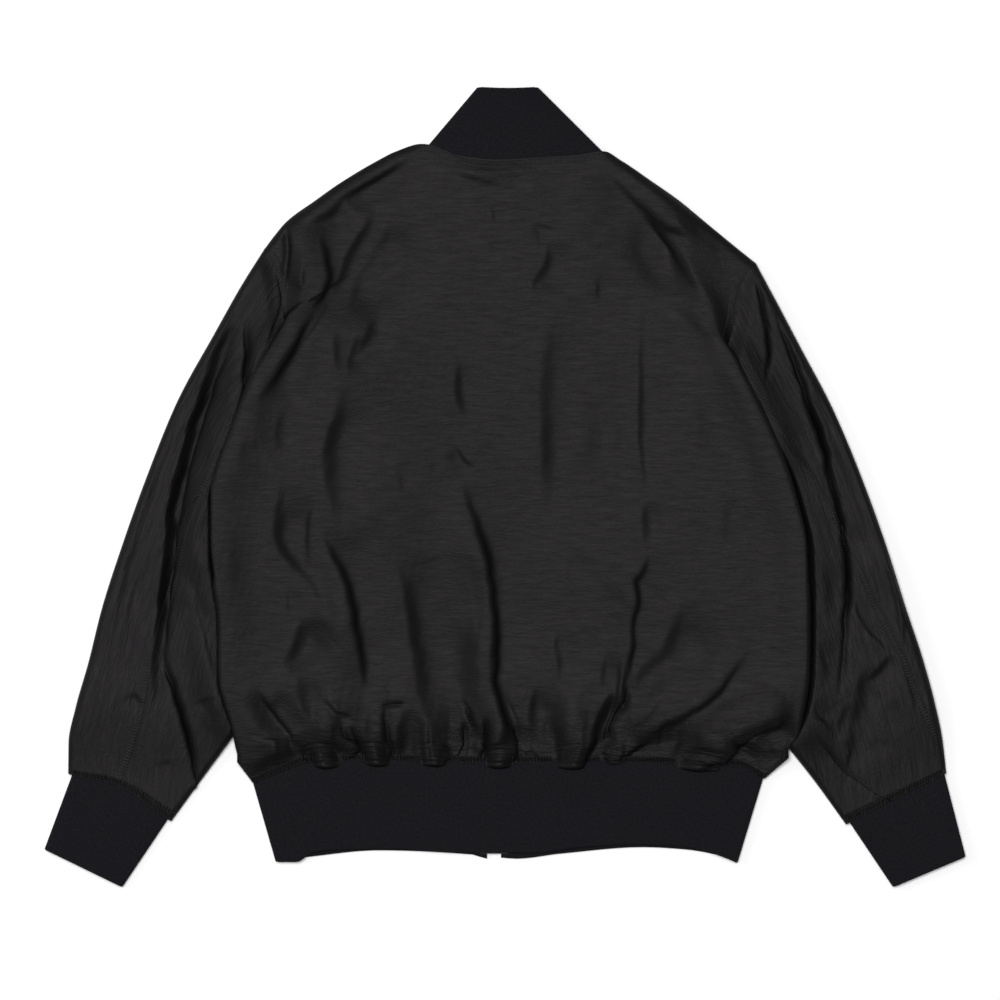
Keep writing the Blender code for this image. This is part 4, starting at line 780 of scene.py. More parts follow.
def puff_share(x, edge=0.5):
    """How much of a puff hangs over the hem band at x, with its drop and its top."""
    share = np.zeros(np.shape(x))
    drop, top = share.copy(), share.copy()
    for puff in HEM_PUFFS:
        near = np.clip(np.abs(x - puff.x) / puff.half_width, 0, 1)
        swell = (1 - near ** 2) ** edge
        share, drop, top = share + swell, drop + swell * puff.drop, top + swell * puff.top
    return share, drop, top


def puff_bow(x):
    """0 at the middle of a puff and 1 at its sides."""
    bow = np.ones(np.shape(x))
    for puff in HEM_PUFFS:
        bow = np.minimum(bow, ((x - puff.x) / puff.half_width) ** 2)
    return bow


# How the back gathers into the hem band: how far above the seam, and how much of the drop and top
GATHERS = table(Gather, (
    (0.0, 22, 0, 0.0), (0.3, 13, 0, 0.75), (0.55, 6.5, 0.35, 0.9), (0.8, 2.5, 0.9, 0.66),
    (1.0, 0.3, 1.0, 0.0),
))
gather_above = column(GATHERS, "at", "above")
gather_drop = column(GATHERS, "at", "drop")
gather_top = column(GATHERS, "at", "top")


def hem_rows(above_row, steps):
    """The rows that gather the back into the hem band, under puffs that hang over its top."""
    rows = []
    x, _, z = above_row.T
    t = OUTWARD
    crest_left, crest_right = len(t) - 1, len(x) - len(t)
    over_rib = RIB_TOP + 0.6
    seam_x, seam_z = x.copy(), np.full(len(x), over_rib)
    for half, turn, columns in ((LEFT, HEM_TURN_LEFT, slice(crest_left, None, -1)),
                                (RIGHT, HEM_TURN_RIGHT, slice(crest_right, None))):
        end_x, _ = on_edge(lambda y, half=half: side_end(half, y), 1.0, turn.y)
        crest_x = turn.x - half.sign * 5.0
        seam_x[columns] = bezier(t, crest_x, crest_x + half.sign * 6.0,
                                 crest_x + half.sign * 7.0, end_x)
        seam_z[columns] = bezier(t, over_rib, over_rib, 0.0, 0.0)
    core = slice(crest_left, crest_right + 1)
    grow = (seam_x[crest_right] - seam_x[crest_left]) / (x[crest_right] - x[crest_left])
    seam_x[core] = seam_x[crest_left] + (x[core] - x[crest_left]) * grow
    share, drop, top = puff_share(seam_x)
    inside = np.zeros(len(x))
    inside[core] = 1.0
    share, drop = share * inside, drop * inside
    for at in np.linspace(0.0, 1.0, steps):
        above = gather_above(at)
        height = seam_z + (z - seam_z) * ease(above, 5.0, 25.0)
        height = height + gather_top(at) * share * np.maximum(top - height, 0.0)
        reach_x = seam_x + (x - seam_x) * above / GATHERS[0].above
        y = hem_seam(reach_x) + above - gather_drop(at) * drop
        pits = np.minimum(read_off(BACK_FOLDS, reach_x, y), 1.0) * inside
        height = height + pits * (0.35 + 0.65 * ease(above, 0.0, 9.0))
        arcs = np.cos(pi * (above + 2.4 * puff_bow(seam_x)) / ARC_PITCH) ** 6
        height = height - 1.7 * arcs * share * ease(above, 1.0, 5.0) * ease(above, 24.0, 14.0)
        height = np.maximum(height, np.minimum(seam_z, 4.0 + 3.0 * ease(above, 3.0, 0.0)))
        rows.append(np.stack((reach_x, y, height), axis=-1))
    return rows


def make_back(cells_across, cells_down, gather_rows):
    core = np.linspace(0.0, 1.0, cells_across + 1)
    top = 0.055 * np.linspace(0.0, 1.0, 16) ** 2.2
    down = np.linspace(0.058, 0.94, cells_down)
    rows = [back_row(share, core) for share in np.concatenate((top, down))]
    return np.array(rows + hem_rows(rows[-1], gather_rows))


def sleeve_height(half, x, y):
    """Top of a sleeve: low where it is tucked under the body, full where it shows."""
    out = half.sign * (x - half.edge(y))
    close = 1.0 if half is LEFT else np.maximum(ease(y, 0, 60), ease(y, -205, -245))
    shown = ease(out, -2.0 - 6.0 * close, 5.0 - 4.5 * close)
    above = ease(y, half.rolled_to - 5, half.rolled_from - 5)
    shown = shown + (1.0 - shown) * above
    height = TUCKED_REST + (SLEEVE_REST - TUCKED_REST) * shown
    near_seam = (1 - ease(half.past(x, y), 0.0, 18.0)) * ease(y, -55, -20)
    seam_top = ARMHOLE_TOP + (TUCKED_REST - ARMHOLE_TOP) * half.rolled(y)
    height = height + (seam_top - height) * near_seam
    folds = read_off(SLEEVE_FOLDS, x, y) + 0.6 * ripple(x, y, 8, 70)
    pushed = np.exp(-((out - 4.0) / 18.0) ** 2) * half.rolled(y) * ease(y, -270, -200)
    height = height + (2.0 + 5.0 * close) * pushed * shown
    height = height + folds * shown * (1 - 0.8 * near_seam)
    return 1.4 + 1.0 * np.logaddexp(0.0, height - 1.4)


def sleeve_point(half, t, distance, lower):
    """A point of the sleeve's outside at a distance in from its outer edge."""
    outer_x, outer_y, inner_x, inner_y, width = half.across(t)
    w = distance / width
    x, y = outer_x + w * (inner_x - outer_x), outer_y + w * (inner_y - outer_y)
    first_y = half.station["outer_y"](0.0) * (1 - w) + half.station["inner_y"](0.0) * w
    bow = half.armhole(first_y) - half.first_line(first_y)
    x = x + (bow * (1 - ease(t, 0.0, 0.35)) + half.sign * 0.1 * (1 - ease(t, 0, 0.03)))
    if half is LEFT:
        y = y + cuff_bow(CUFF_LEFT, w) * ease(t, 0.86, 1.0)
    edges = rim(distance, SLEEVE_ROUND) * rim(width - distance, SLEEVE_ROUND)
    top = sleeve_height(half, x, y)
    top = top + (RIB_TOP + 0.4 - top) * ease(t, 0.76, 0.99)
    middle = 0.42 * top
    z = middle * (1 - edges) if lower else middle + (top - middle) * edges
    return np.stack((x, y, z), axis=-1)


def bunched(cells, start, end):
    """Distances from start to end, closer together at both ends."""
    even = np.linspace(0.0, 1.0, cells + 1)
    return start + (end - start) * (0.55 * even + 0.45 * ease(even, 0.0, 1.0))


def make_sleeve(half, outer_piece, cells_over, cells_under, rows_down):
    """One of a sleeve's two pieces, with the distance around and along it for its weave."""
    rows, weave = [], []
    down = 0.0
    last = None
    for t in np.linspace(0.0, 1.0, rows_down):
        outer_x, outer_y, inner_x, inner_y, width = half.across(t)
        seam, under = half.station["seam"](t) * width, FRONT_SEAM * width
        if outer_piece:
            over = bunched(cells_over, 0.0, seam - 0.05)
            below = bunched(cells_under, 0.0, under - 0.15)
            parts = ((below[::-1], True), (over[1:], False))
            around = np.concatenate((-below[::-1], over[1:]))
        else:
            over = bunched(cells_over, width, seam + 0.05)
            below = bunched(cells_under, width, under + 0.15)
            parts = ((over[::-1], False), (below[1:], True))
            around = np.concatenate((over[::-1], 2 * width - below[1:]))
        middle = np.array((outer_x + inner_x, outer_y + inner_y)) / 2
        down += 0.0 if last is None else float(np.hypot(*(middle - last)))
        last = middle
        rows.append(np.concatenate([sleeve_point(half, t, d, lower) for d, lower in parts]))
        weave.append(np.stack((np.full(len(around), down), around), axis=-1))
    return np.array(rows), np.array(weave)


def make_front(half, neck, front_edge, cells_across, cells_down):
    """A front panel, lying on its outside, from the zip's edge to its side."""
    neck_y = column(neck, "x", "y")
    shoulder = neck[0]
    rows = []
    for share in np.concatenate((np.linspace(0, 0.05, 5), np.linspace(0.07, 1.0, cells_down))):
        end_x, _ = on_edge(lambda y: side_end(half, y), share, 0.0)
        end_x = end_x - half.sign * 1.0
        settle = ease(share, 0.0, 0.5)
        near = front_edge + (shoulder.x - front_edge) * np.linspace(0, 1, cells_across // 2 + 1)
        far = shoulder.x + (end_x - shoulder.x) * np.linspace(0, 1, cells_across // 2 + 1)[1:]
        even = np.linspace(front_edge, end_x, 2 * (cells_across // 2) + 1)
        x = np.concatenate((near, far)) * (1 - settle) + even * settle
        top = np.where(half.sign * x < half.sign * shoulder.x, neck_y(x), top_edge(x))
        hem_gap = SEAM_GAP + 1.5 * ease(np.abs(x), 165, 195)
        y = (top - SEAM_GAP) * (1 - share) + (hem_seam(x) + hem_gap) * share
        rows.append(np.stack((x, y, front_height(x, y) + 0.1), axis=-1))
    return np.array(rows)


def mix(first, second, share):
    return Point(first.x + (second.x - first.x) * share, first.y + (second.y - first.y) * share)


def collar_front(neck, front_edge, corner, up, fold_x):
    """One row of a front half of the collar, from the zip to the fold at its side."""
    neck_y, sign = column(neck, "x", "y"), np.sign(corner.x)
    row = []
    for x in np.linspace(front_edge, neck[0].x, 16)[:-1]:
        share = (x - front_edge) / (neck[0].x - front_edge)
        base = Point(x, float(neck_y(x)) + SEAM_GAP)
        top = mix(Point(front_edge, neck[-1].y + COLLAR_HEIGHT), corner, share ** 1.5)
        point = mix(base, top, up)
        row.append((sign * min(sign * point.x, sign * fold_x), point.y, UNDERSIDE))
    return row


def make_collar(rows_up):
    """The collar band: its back lies on top and its two front halves run under it to the zip."""
    grid = []
    for up in np.concatenate(([-0.05], np.linspace(0.0, 1.0, rows_up + 1))):
        tucked = BAND_TUCK * (up < 0)
        left = mix(COLLAR_BASE_LEFT, COLLAR_TOP_LEFT, up)
        right = mix(COLLAR_BASE_RIGHT, COLLAR_TOP_RIGHT, up)
        width = right.x - left.x
        across = np.concatenate((RIB_BEND, np.linspace(4.6, width - 4.6, 90),
                                 width - RIB_BEND[::-1]))
        over, under = [], []
        for distance in across:
            x = left.x + distance
            base_x = COLLAR_BASE_LEFT.x + distance / width * (COLLAR_BASE_RIGHT.x
                                                              - COLLAR_BASE_LEFT.x)
            base_y = float(top_edge(base_x)) + SEAM_GAP
            top_y = COLLAR_TOP_LEFT.y - 1.0 * np.sin(pi * distance / width)
            y = base_y + (top_y - base_y) * up
            lift = float(rim(min(distance, width - distance), RIB_ROUND))
            swell = 0.5 * np.sin(pi * up) * np.sin(pi * distance / width)
            over.append((x, y, RIB_TOP * 0.5 * (1 + lift) + swell - tucked * lift))
            under.append((x, y, RIB_TOP * 0.5 * (1 - lift) + UNDERSIDE))
        left_row = collar_front(NECK_LEFT, FRONT_EDGE_LEFT, COLLAR_TOP_LEFT, up,
                                left.x + RIB_ROUND)
        right_row = collar_front(NECK_RIGHT, FRONT_EDGE_RIGHT, COLLAR_TOP_RIGHT, up,
                                 right.x - RIB_ROUND)
        bent = len(RIB_BEND)
        grid.append(left_row + under[1:bent][::-1] + over + under[-bent:-1][::-1]
                    + right_row[::-1])
    return np.array(grid)


def make_hem(rows_down):
    """The hem band: its back lies on top, and its fronts run under it to the zip."""
    back_low, front_low = column(HEM_BACK, "x", "y"), column(HEM_FRONT, "x", "y")
    half_top = RIB_TOP / 2
    grid = []
    for down in np.concatenate(([-0.045], np.linspace(0.0, 1.0, rows_down + 1))):
        tucked = BAND_TUCK * (down < 0)
        left = mix(HEM_TURN_LEFT, HEM_CORNER_LEFT, down)
        right = mix(HEM_TURN_RIGHT, HEM_CORNER_RIGHT, down)
        width = right.x - left.x
        fronts = []
        for turn, front_edge, way in ((left, FRONT_EDGE_LEFT, 1), (right, FRONT_EDGE_RIGHT, -1)):
            xs = np.concatenate((turn.x + way * RIB_BEND[1:],
                                 np.linspace(turn.x + way * 6, front_edge, 30)))
            fronts.append([(x, band_y(x, down, left, right, front_low),
                            half_top * (1 - float(rim(way * (x - turn.x), RIB_ROUND))) + UNDERSIDE)
                           for x in xs])
        over = []
        for distance in np.concatenate((RIB_BEND, np.linspace(5, width - 5, 150),
                                        width - RIB_BEND[::-1])):
            x = left.x + distance
            swell = 0.5 * np.sin(pi * down) + 0.25 * float(ripple(x, 0.0, 5, 60))
            swell = swell * float(ease(min(distance, width - distance), 0.0, 12.0))
            z = half_top * (1 + float(rim(distance, RIB_ROUND) * rim(width - distance, RIB_ROUND)))
            over.append((x, band_y(x, down, left, right, back_low), z + swell - tucked))
        grid.append(fronts[0][::-1] + over + fronts[1])
    return np.array(grid)


def band_y(x, down, left, right, low):
    """Height up the jacket of a point of the hem band, between its seam and its lower edge."""
    share = (x - left.x) / (right.x - left.x)
    seam_x = HEM_TURN_LEFT.x + share * (HEM_TURN_RIGHT.x - HEM_TURN_LEFT.x)
    low_x = HEM_CORNER_LEFT.x + share * (HEM_CORNER_RIGHT.x - HEM_CORNER_LEFT.x)
    seam_y = float(hem_seam(seam_x)) - SEAM_GAP
    return seam_y + (float(low(low_x)) - seam_y) * down


def cuff_bow(cuff, across):
    """How far up the sleeve the seam of a cuff is bowed, at a share of the way across it."""
    return (LEFT_CUFF_BOW if cuff is CUFF_LEFT else 0.0) * np.sin(pi * across) ** 1.6


def make_cuff(cuff, cells_across, rows_down):
    """A cuff: a flattened tube, narrower at the wrist."""
    grid = []
    for down in np.concatenate(([-0.045], np.linspace(0.0, 1.0, rows_down + 1))):
        tucked = 2.0 * (down < 0)
        outer = mix(cuff.outer_top, cuff.outer_bottom, down)
        inner = mix(cuff.inner_top, cuff.inner_bottom, down)
        width = np.hypot(inner.x - outer.x, inner.y - outer.y)
        inset = np.linspace(0.0, 1.0, 8) ** 1.6 * RIB_ROUND
        across = np.concatenate((inset, np.linspace(5, width - 5, cells_across),
                                 width - inset[::-1]))
        ring = [(d, 1) for d in across] + [(d, -1) for d in across[-2:0:-1]]
        row = []
        for distance, way in ring + ring[:1]:
            point = mix(outer, inner, distance / width)
            edge = float(rim(distance, RIB_ROUND) * rim(width - distance, RIB_ROUND))
            swell = 0.5 * np.sin(pi * down) * np.sin(pi * distance / width) * (way > 0)
            bow = cuff_bow(cuff, distance / width) * (1 - max(down, 0.0)) ** 2
            swell = swell - tucked * edge * (way > 0)
            z = RIB_TOP / 2 * (1 + way * edge) + swell + UNDERSIDE
            row.append((point.x, point.y + bow, z))
        grid.append(row)
    return np.array(grid)


def folded_over(grid, wall):
    """A doubled band: its outside down to the folded edge, round it, and back up the inside."""
    across = np.gradient(grid, axis=1)
    down = np.gradient(grid, axis=0)
    normal = np.cross(down, across)
    normal /= np.linalg.norm(normal, axis=-1, keepdims=True) + 1e-9
    down_way = down / (np.linalg.norm(down, axis=-1, keepdims=True) + 1e-9)
    up_most = np.unravel_index(np.argmax(grid[..., 2]), grid.shape[:2])
    if normal[up_most][2] < 0:
        normal = -normal
    radius = wall / 2
    outer = grid.copy()
    outer[-1] = grid[-1] - down_way[-1] * radius
    rows = list(outer)
    centre = outer[-1] - normal[-1] * radius
    for angle in np.linspace(0, pi, 8)[1:-1]:
        rows.append(centre + radius * (normal[-1] * np.cos(angle) + down_way[-1] * np.sin(angle)))
    inner = outer - normal * wall
    rows += list(inner[::-1][::3]) + [inner[0]]
    return np.array(rows)


def row_lengths(grid, middle):
    """Distance along each row from a middle column."""
    steps = np.linalg.norm(np.diff(grid, axis=1), axis=-1)
    along = np.concatenate((np.zeros((grid.shape[0], 1)), np.cumsum(steps, axis=1)), axis=1)
    return along - along[:, middle:middle + 1]


def column_lengths(grid):
    """Distance down each column from the first row."""
    steps = np.linalg.norm(np.diff(grid, axis=0), axis=-1)
    return np.concatenate((np.zeros((1, grid.shape[1])), np.cumsum(steps, axis=0)), axis=0)


def put(mesh, finish):
    """Puts a mesh into the scene as a piece of the jacket, under the mesh's own name."""
    mesh.materials.append(finish)
    piece = bpy.data.objects.new(mesh.name, mesh)
    bpy.context.scene.collection.objects.link(piece)
    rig.ride(piece, "jacket")
    return piece


def mesh_piece(name, grid, weave, finish, marks=None):
    """A smooth sheet through a grid of points, with its weave's coordinates and its marks."""
    rows, columns = grid.shape[:2]
    mesh = bpy.data.meshes.new(name)
    index = np.arange(rows * columns).reshape(rows, columns)
    quads = np.stack((index[:-1, :-1], index[1:, :-1], index[1:, 1:], index[:-1, 1:]), axis=-1)
    quads = quads.reshape(-1, 4)
    top = np.unravel_index(np.argmax(grid[..., 2]), grid.shape[:2])
    r, c = min(top[0], rows - 2), min(top[1], columns - 2)
    facing = np.cross(grid[r + 1, c] - grid[r, c], grid[r, c + 1] - grid[r, c])
    if facing[2] < 0:
        quads = quads[:, ::-1]
    mesh.vertices.add(rows * columns)
    mesh.vertices.foreach_set("co", (grid * MM).reshape(-1))
    mesh.loops.add(quads.size)
    mesh.loops.foreach_set("vertex_index", quads.reshape(-1).astype(np.int32))
    mesh.polygons.add(len(quads))
    mesh.polygons.foreach_set("loop_start", np.arange(0, quads.size, 4, dtype=np.int32))
    mesh.polygons.foreach_set("use_smooth", np.ones(len(quads), dtype=bool))
    mesh.update(calc_edges=True)
    uv = mesh.uv_layers.new(name="weave")
    corners = (weave * MM).reshape(-1, 2)[quads.reshape(-1)]
    uv.data.foreach_set("uv", corners.astype(np.float32).reshape(-1))
    for mark, values in {"streak": np.zeros(grid.shape[:2]), **(marks or {})}.items():
        layer = mesh.attributes.new(mark, "FLOAT", "POINT")
        layer.data.foreach_set("value", np.asarray(values, dtype=np.float32).reshape(-1))
    mesh.validate()
    return put(mesh, finish)


# Materials
def node(tree, kind, **inputs):
    made = tree.nodes.new(kind)
    for name, value in inputs.items():
        made.inputs[name.replace("_", " ")].default_value = value
    return made


def feed(tree, socket, value):
    """Links a socket to another one, or sets it to a value."""
    if isinstance(value, bpy.types.NodeSocket):
        tree.links.new(value, socket)
    else:
        socket.default_value = value


def math_node(tree, operation, first, second=0.0):
    made = tree.nodes.new("ShaderNodeMath")
    made.operation = operation
    for socket, value in zip(made.inputs, (first, second)):
        feed(tree, socket, value)
    return made.outputs[0]


def scaled(tree, socket, across, down):
    """The weave's coordinates times a number each way."""
    made = tree.nodes.new("ShaderNodeVectorMath")
    made.operation = "MULTIPLY"
    tree.links.new(socket, made.inputs[0])
    made.inputs[1].default_value = (across, down, 1.0)
    return made.outputs[0]


def noise(tree, vector, detail=2.0, roughness=0.5, distortion=0.0):
    made = node(tree, "ShaderNodeTexNoise", Scale=1.0, Detail=detail, Roughness=roughness,
                Distortion=distortion)
    tree.links.new(vector, made.inputs["Vector"])
    return made.outputs["Fac"]


def ramp(tree, socket, low, high, start=0.0, end=1.0):
    made = node(tree, "ShaderNodeMapRange", From_Min=low, From_Max=high, To_Min=start, To_Max=end)
    made.interpolation_type = "SMOOTHSTEP"
    tree.links.new(socket, made.inputs["Value"])
    return made.outputs["Result"]


def bump(tree, height, distance, under=None):
    made = node(tree, "ShaderNodeBump", Strength=1.0, Distance=distance)
    tree.links.new(height, made.inputs["Height"])
    if under is not None:
        tree.links.new(under, made.inputs["Normal"])
    return made.outputs["Normal"]


def colour_mix(tree, share, first, second):
    """A mix of two colours or sockets, by a socket or a number."""
    made = tree.nodes.new("ShaderNodeMix")
    made.data_type = "RGBA"
    feed(tree, made.inputs["Factor"], share)
    colours = [socket for socket in made.inputs if socket.type == "RGBA"]
    for socket, value in zip(colours, (first, second)):
        feed(tree, socket, (*value, 1.0) if isinstance(value, tuple) else value)
    return [socket for socket in made.outputs if socket.type == "RGBA"][0]


def start_material(name, roughness, specular=0.5, metallic=0.0):
    made = bpy.data.materials.new(name)
    made.use_nodes = True
    shader = made.node_tree.nodes["Principled BSDF"]
    shader.inputs["Roughness"].default_value = roughness
    shader.inputs["Metallic"].default_value = metallic
    shader.inputs["Specular IOR Level"].default_value = specular
    return made, made.node_tree, shader


def mark_of(tree, name):
    made = tree.nodes.new("ShaderNodeAttribute")
    made.attribute_name = name
    return made.outputs["Fac"]


def weave_of(tree):
    made = tree.nodes.new("ShaderNodeUVMap")
    made.uv_map = "weave"
    return made.outputs["UV"]


def bands(tree, direction, vector, distortion):
    """Even bands across one of a vector's directions."""
    made = node(tree, "ShaderNodeTexWave", Scale=1.0, Distortion=distortion, Detail=1.0)
    made.bands_direction = direction
    tree.links.new(vector, made.inputs["Vector"])
    return made.outputs["Fac"]


def shell_material():
    """Crinkled woven nylon: slubs along the weave's first coordinate, crinkles and a soft sheen."""
    made, tree, shader = start_material("shell_cloth", 0.55, specular=0.125)
    shader.inputs["Specular Tint"].default_value = (1.0, 0.95, 1.0, 1.0)
    uv = weave_of(tree)
    slub = noise(tree, scaled(tree, uv, 48.0, 480.0), 3.0, 0.62)
    thread = noise(tree, scaled(tree, uv, 260.0, 1500.0), 2.0, 0.6)
    broad = noise(tree, scaled(tree, uv, 9.0, 14.0), 3.0, 0.55, 0.4)
    crinkle = noise(tree, scaled(tree, uv, 42.0, 150.0), 4.0, 0.6, 0.8)
    ridge = math_node(tree, "ABSOLUTE", math_node(tree, "SUBTRACT", crinkle, 0.5))
    ridge = ramp(tree, ridge, 0.0, 0.12)
    rumpled = math_node(tree, "MULTIPLY", ridge, mark_of(tree, "rumple"))
    light = (0.0054, 0.0050, 0.0052)
    colour = colour_mix(tree, ramp(tree, slub, 0.25, 0.8), (0.0030, 0.0028, 0.0030), light)
    worn = colour_mix(tree, ramp(tree, broad, 0.3, 0.75), (0.0032, 0.0029, 0.0031), light)
    tree.links.new(colour_mix(tree, 0.5, colour, worn), shader.inputs["Base Color"])
    tree.links.new(ramp(tree, slub, 0.2, 0.85, 0.60, 0.51), shader.inputs["Roughness"])
    uneven = math_node(tree, "MULTIPLY", noise(tree, scaled(tree, uv, 160.0, 160.0)), 7.0)
    turns = math_node(tree, "MULTIPLY", mark_of(tree, "along"), 2 * pi / TICK_PITCH)
    ticks = math_node(tree, "SINE", math_node(tree, "ADD", turns, uneven))
    gathered = math_node(tree, "MULTIPLY", ticks, mark_of(tree, "gather"))
    surface = bump(tree, thread, 0.00005)
    surface = bump(tree, slub, 0.00009, surface)
    surface = bump(tree, rumpled, 0.0004, surface)
    surface = bump(tree, gathered, 0.0005, surface)
    streaks = noise(tree, scaled(tree, uv, 7.0, 130.0), 3.0, 0.55, 0.3)
    streaks = math_node(tree, "MULTIPLY", streaks, mark_of(tree, "streak"))
    surface = bump(tree, streaks, 0.0012, surface)
    tree.links.new(surface, shader.inputs["Normal"])
    return made


def rib_material():
    """Matte blue-black fine rib knit: wales down the band, slightly fuzzy."""
    made, tree, shader = start_material("rib_knit", 0.9, specular=0.1)
    uv = weave_of(tree)
    wales = bands(tree, "X", scaled(tree, uv, 190.0, 30.0), 0.35)
    courses = bands(tree, "Y", scaled(tree, uv, 60.0, 160.0), 0.5)
    fuzz = noise(tree, scaled(tree, uv, 420.0, 380.0), 3.0, 0.7)
    broad = noise(tree, scaled(tree, uv, 12.0, 12.0), 2.0, 0.5)
    colour = colour_mix(tree, ramp(tree, fuzz, 0.25, 0.8), (0.0032, 0.0032, 0.0044),
                        (0.0106, 0.0104, 0.0134))
    shade = colour_mix(tree, ramp(tree, broad, 0.3, 0.7), (0.0063, 0.0063, 0.0083),
                       (0.0074, 0.0073, 0.0096))
    tree.links.new(colour_mix(tree, 0.4, colour, shade), shader.inputs["Base Color"])
    surface = bump(tree, fuzz, 0.0002)
    surface = bump(tree, courses, 0.00012, surface)
    surface = bump(tree, wales, 0.00018, surface)
    tree.links.new(surface, shader.inputs["Normal"])
    return made


def plain_material(name, dark, light, roughness, scale, metallic=0.0):
    made, tree, shader = start_material(name, roughness, metallic=metallic)
    place = tree.nodes.new("ShaderNodeTexCoord")
    grain = noise(tree, scaled(tree, place.outputs["Object"], scale, scale), 3.0, 0.6)
    tree.links.new(colour_mix(tree, ramp(tree, grain, 0.3, 0.7), dark, light),
                   shader.inputs["Base Color"])
    tree.links.new(bump(tree, grain, 0.0001), shader.inputs["Normal"])
    return made


shell = shell_material()
rib = rib_material()
tape = plain_material("tape_cloth", (0.008, 0.008, 0.010), (0.016, 0.016, 0.019), 0.8, 900.0)
metal = plain_material("dark_metal", (0.04, 0.04, 0.045), (0.08, 0.08, 0.085), 0.35, 60.0, 0.9)
thread_finish = plain_material("sewing_thread", (0.007, 0.0065, 0.007), (0.013, 0.012, 0.0125), 0.7,
                               700.0)


def mark_gather(distance):
    """Full inside a gathered strip of sewn cloth, by distance from its seam."""
    return ease(distance, 8.0, 6.0)


shells = {}


def shell_piece(name, grid, weave, marks, cad_node):
    """A piece of the shell, in place of its solid."""
    piece = mesh_piece(name, grid, weave, shell, marks)
    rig.replaces(piece, cad_node)
    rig.slot(piece, "shell")
    shells[name] = piece


# The back
back_grid = make_back(296, 240, 26)
columns = np.arange(back_grid.shape[1])
inner = ease(columns, len(OUTWARD) - 1, 34) * ease(columns[::-1], len(OUTWARD) - 1, 34)
pull_lips(BACK_LINES, back_grid, np.broadcast_to(inner, back_grid.shape[:2])
          * ease(back_grid[..., 1] - hem_seam(back_grid[..., 0]), 0.0, 12.0))
bx, by = back_grid[..., 0], back_grid[..., 1]
back_weave = np.stack((row_lengths(back_grid, back_grid.shape[1] // 2), by), axis=-1)
from_hem = by - hem_seam(bx)
rumple = 0.25 + 0.3 * ease(from_hem, 70, 15)
hem_flat = 1 - np.clip(1.6 * puff_share(bx)[0], 0, 1) * (np.abs(bx) < 232)
shell_piece("back_cloth", back_grid, back_weave,
            {"rumple": rumple, "gather": mark_gather(from_hem) * hem_flat, "along": bx}, "back")

for word, half, neck, edge in (("left", LEFT, NECK_LEFT, FRONT_EDGE_LEFT),
                               ("right", RIGHT, NECK_RIGHT, FRONT_EDGE_RIGHT)):
    grid = make_front(half, neck, edge, 60, 110)
    zero = np.zeros(grid.shape[:2])
    shell_piece(f"front_{word}_cloth", grid, grid[..., :2],
                {"rumple": zero + 0.3, "gather": zero, "along": zero}, f"front_{word}")

# The sleeves
for word, half in (("left", LEFT), ("right", RIGHT)):
    for piece_word, outer_piece, over in (("outer", True, 80), ("inner", False, 110)):
        grid, weave = make_sleeve(half, outer_piece, over, 16, 300)
        pull_lips(SLEEVE_LINES, grid, ease(grid[..., 2], 4.5, 8.0))
        to_cuff = weave[-1, 0, 0] - weave[..., 0]
        shell_piece(f"sleeve_{piece_word}_{word}_cloth", grid, weave,
                    {"rumple": np.full(grid.shape[:2], 0.3), "gather": mark_gather(to_cuff),
                     "along": weave[..., 1], "streak": np.ones(grid.shape[:2])},
                    f"sleeve_{piece_word}_{word}")

# The ribs
ribs = {}
for name, grid, cad_node in (
        ("hem_knit", make_hem(30), "hem_rib"),
        ("collar_knit", make_collar(30), "collar_rib"),
        ("cuff_left_knit", make_cuff(CUFF_LEFT, 40, 30), "cuff_left"),
        ("cuff_right_knit", make_cuff(CUFF_RIGHT, 40, 30), "cuff_right")):
    band = folded_over(grid, RIB_WALL)
    middle = band.shape[1] // 2
    steady = np.broadcast_to(row_lengths(band, middle)[len(grid) // 2], band.shape[:2])
    piece = mesh_piece(name, band, np.stack((steady, column_lengths(band)), axis=-1), rib)
    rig.replaces(piece, cad_node)
    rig.slot(piece, "rib")
    ribs[name] = piece


# The sewing
def surface_of(names):
    """The surfaces of some pieces of the shell, to set the sewing down on."""
    points, faces = [], []
    for name in names:
        first = len(points)
        points += [vertex.co[:] for vertex in shells[name].data.vertices]
        faces += [[first + i for i in face.vertices] for face in shells[name].data.polygons]
    return BVHTree.FromPolygons(points, faces)


def set_down(surface, x, y):
    """Height of a surface below a point, in millimetres, or None beside it."""
    hit = surface.ray_cast(Vector((x * MM, y * MM, 0.1)), Vector((0, 0, -1)))[0]
    return None if hit is None else hit.z / MM


def even_line(points, step):
    """Points a step apart along a line, with its direction at each."""
    points = np.array(points, dtype=float)
    lengths = np.concatenate(([0.0], np.cumsum(np.hypot(*np.diff(points, axis=0).T))))
    at = np.arange(0.0, lengths[-1], step)
    line = np.stack([curve(lengths, points[:, k])(at) for k in (0, 1)], axis=-1)
    way = np.gradient(line, axis=0)
    return line, way / (np.linalg.norm(way, axis=1, keepdims=True) + 1e-9)


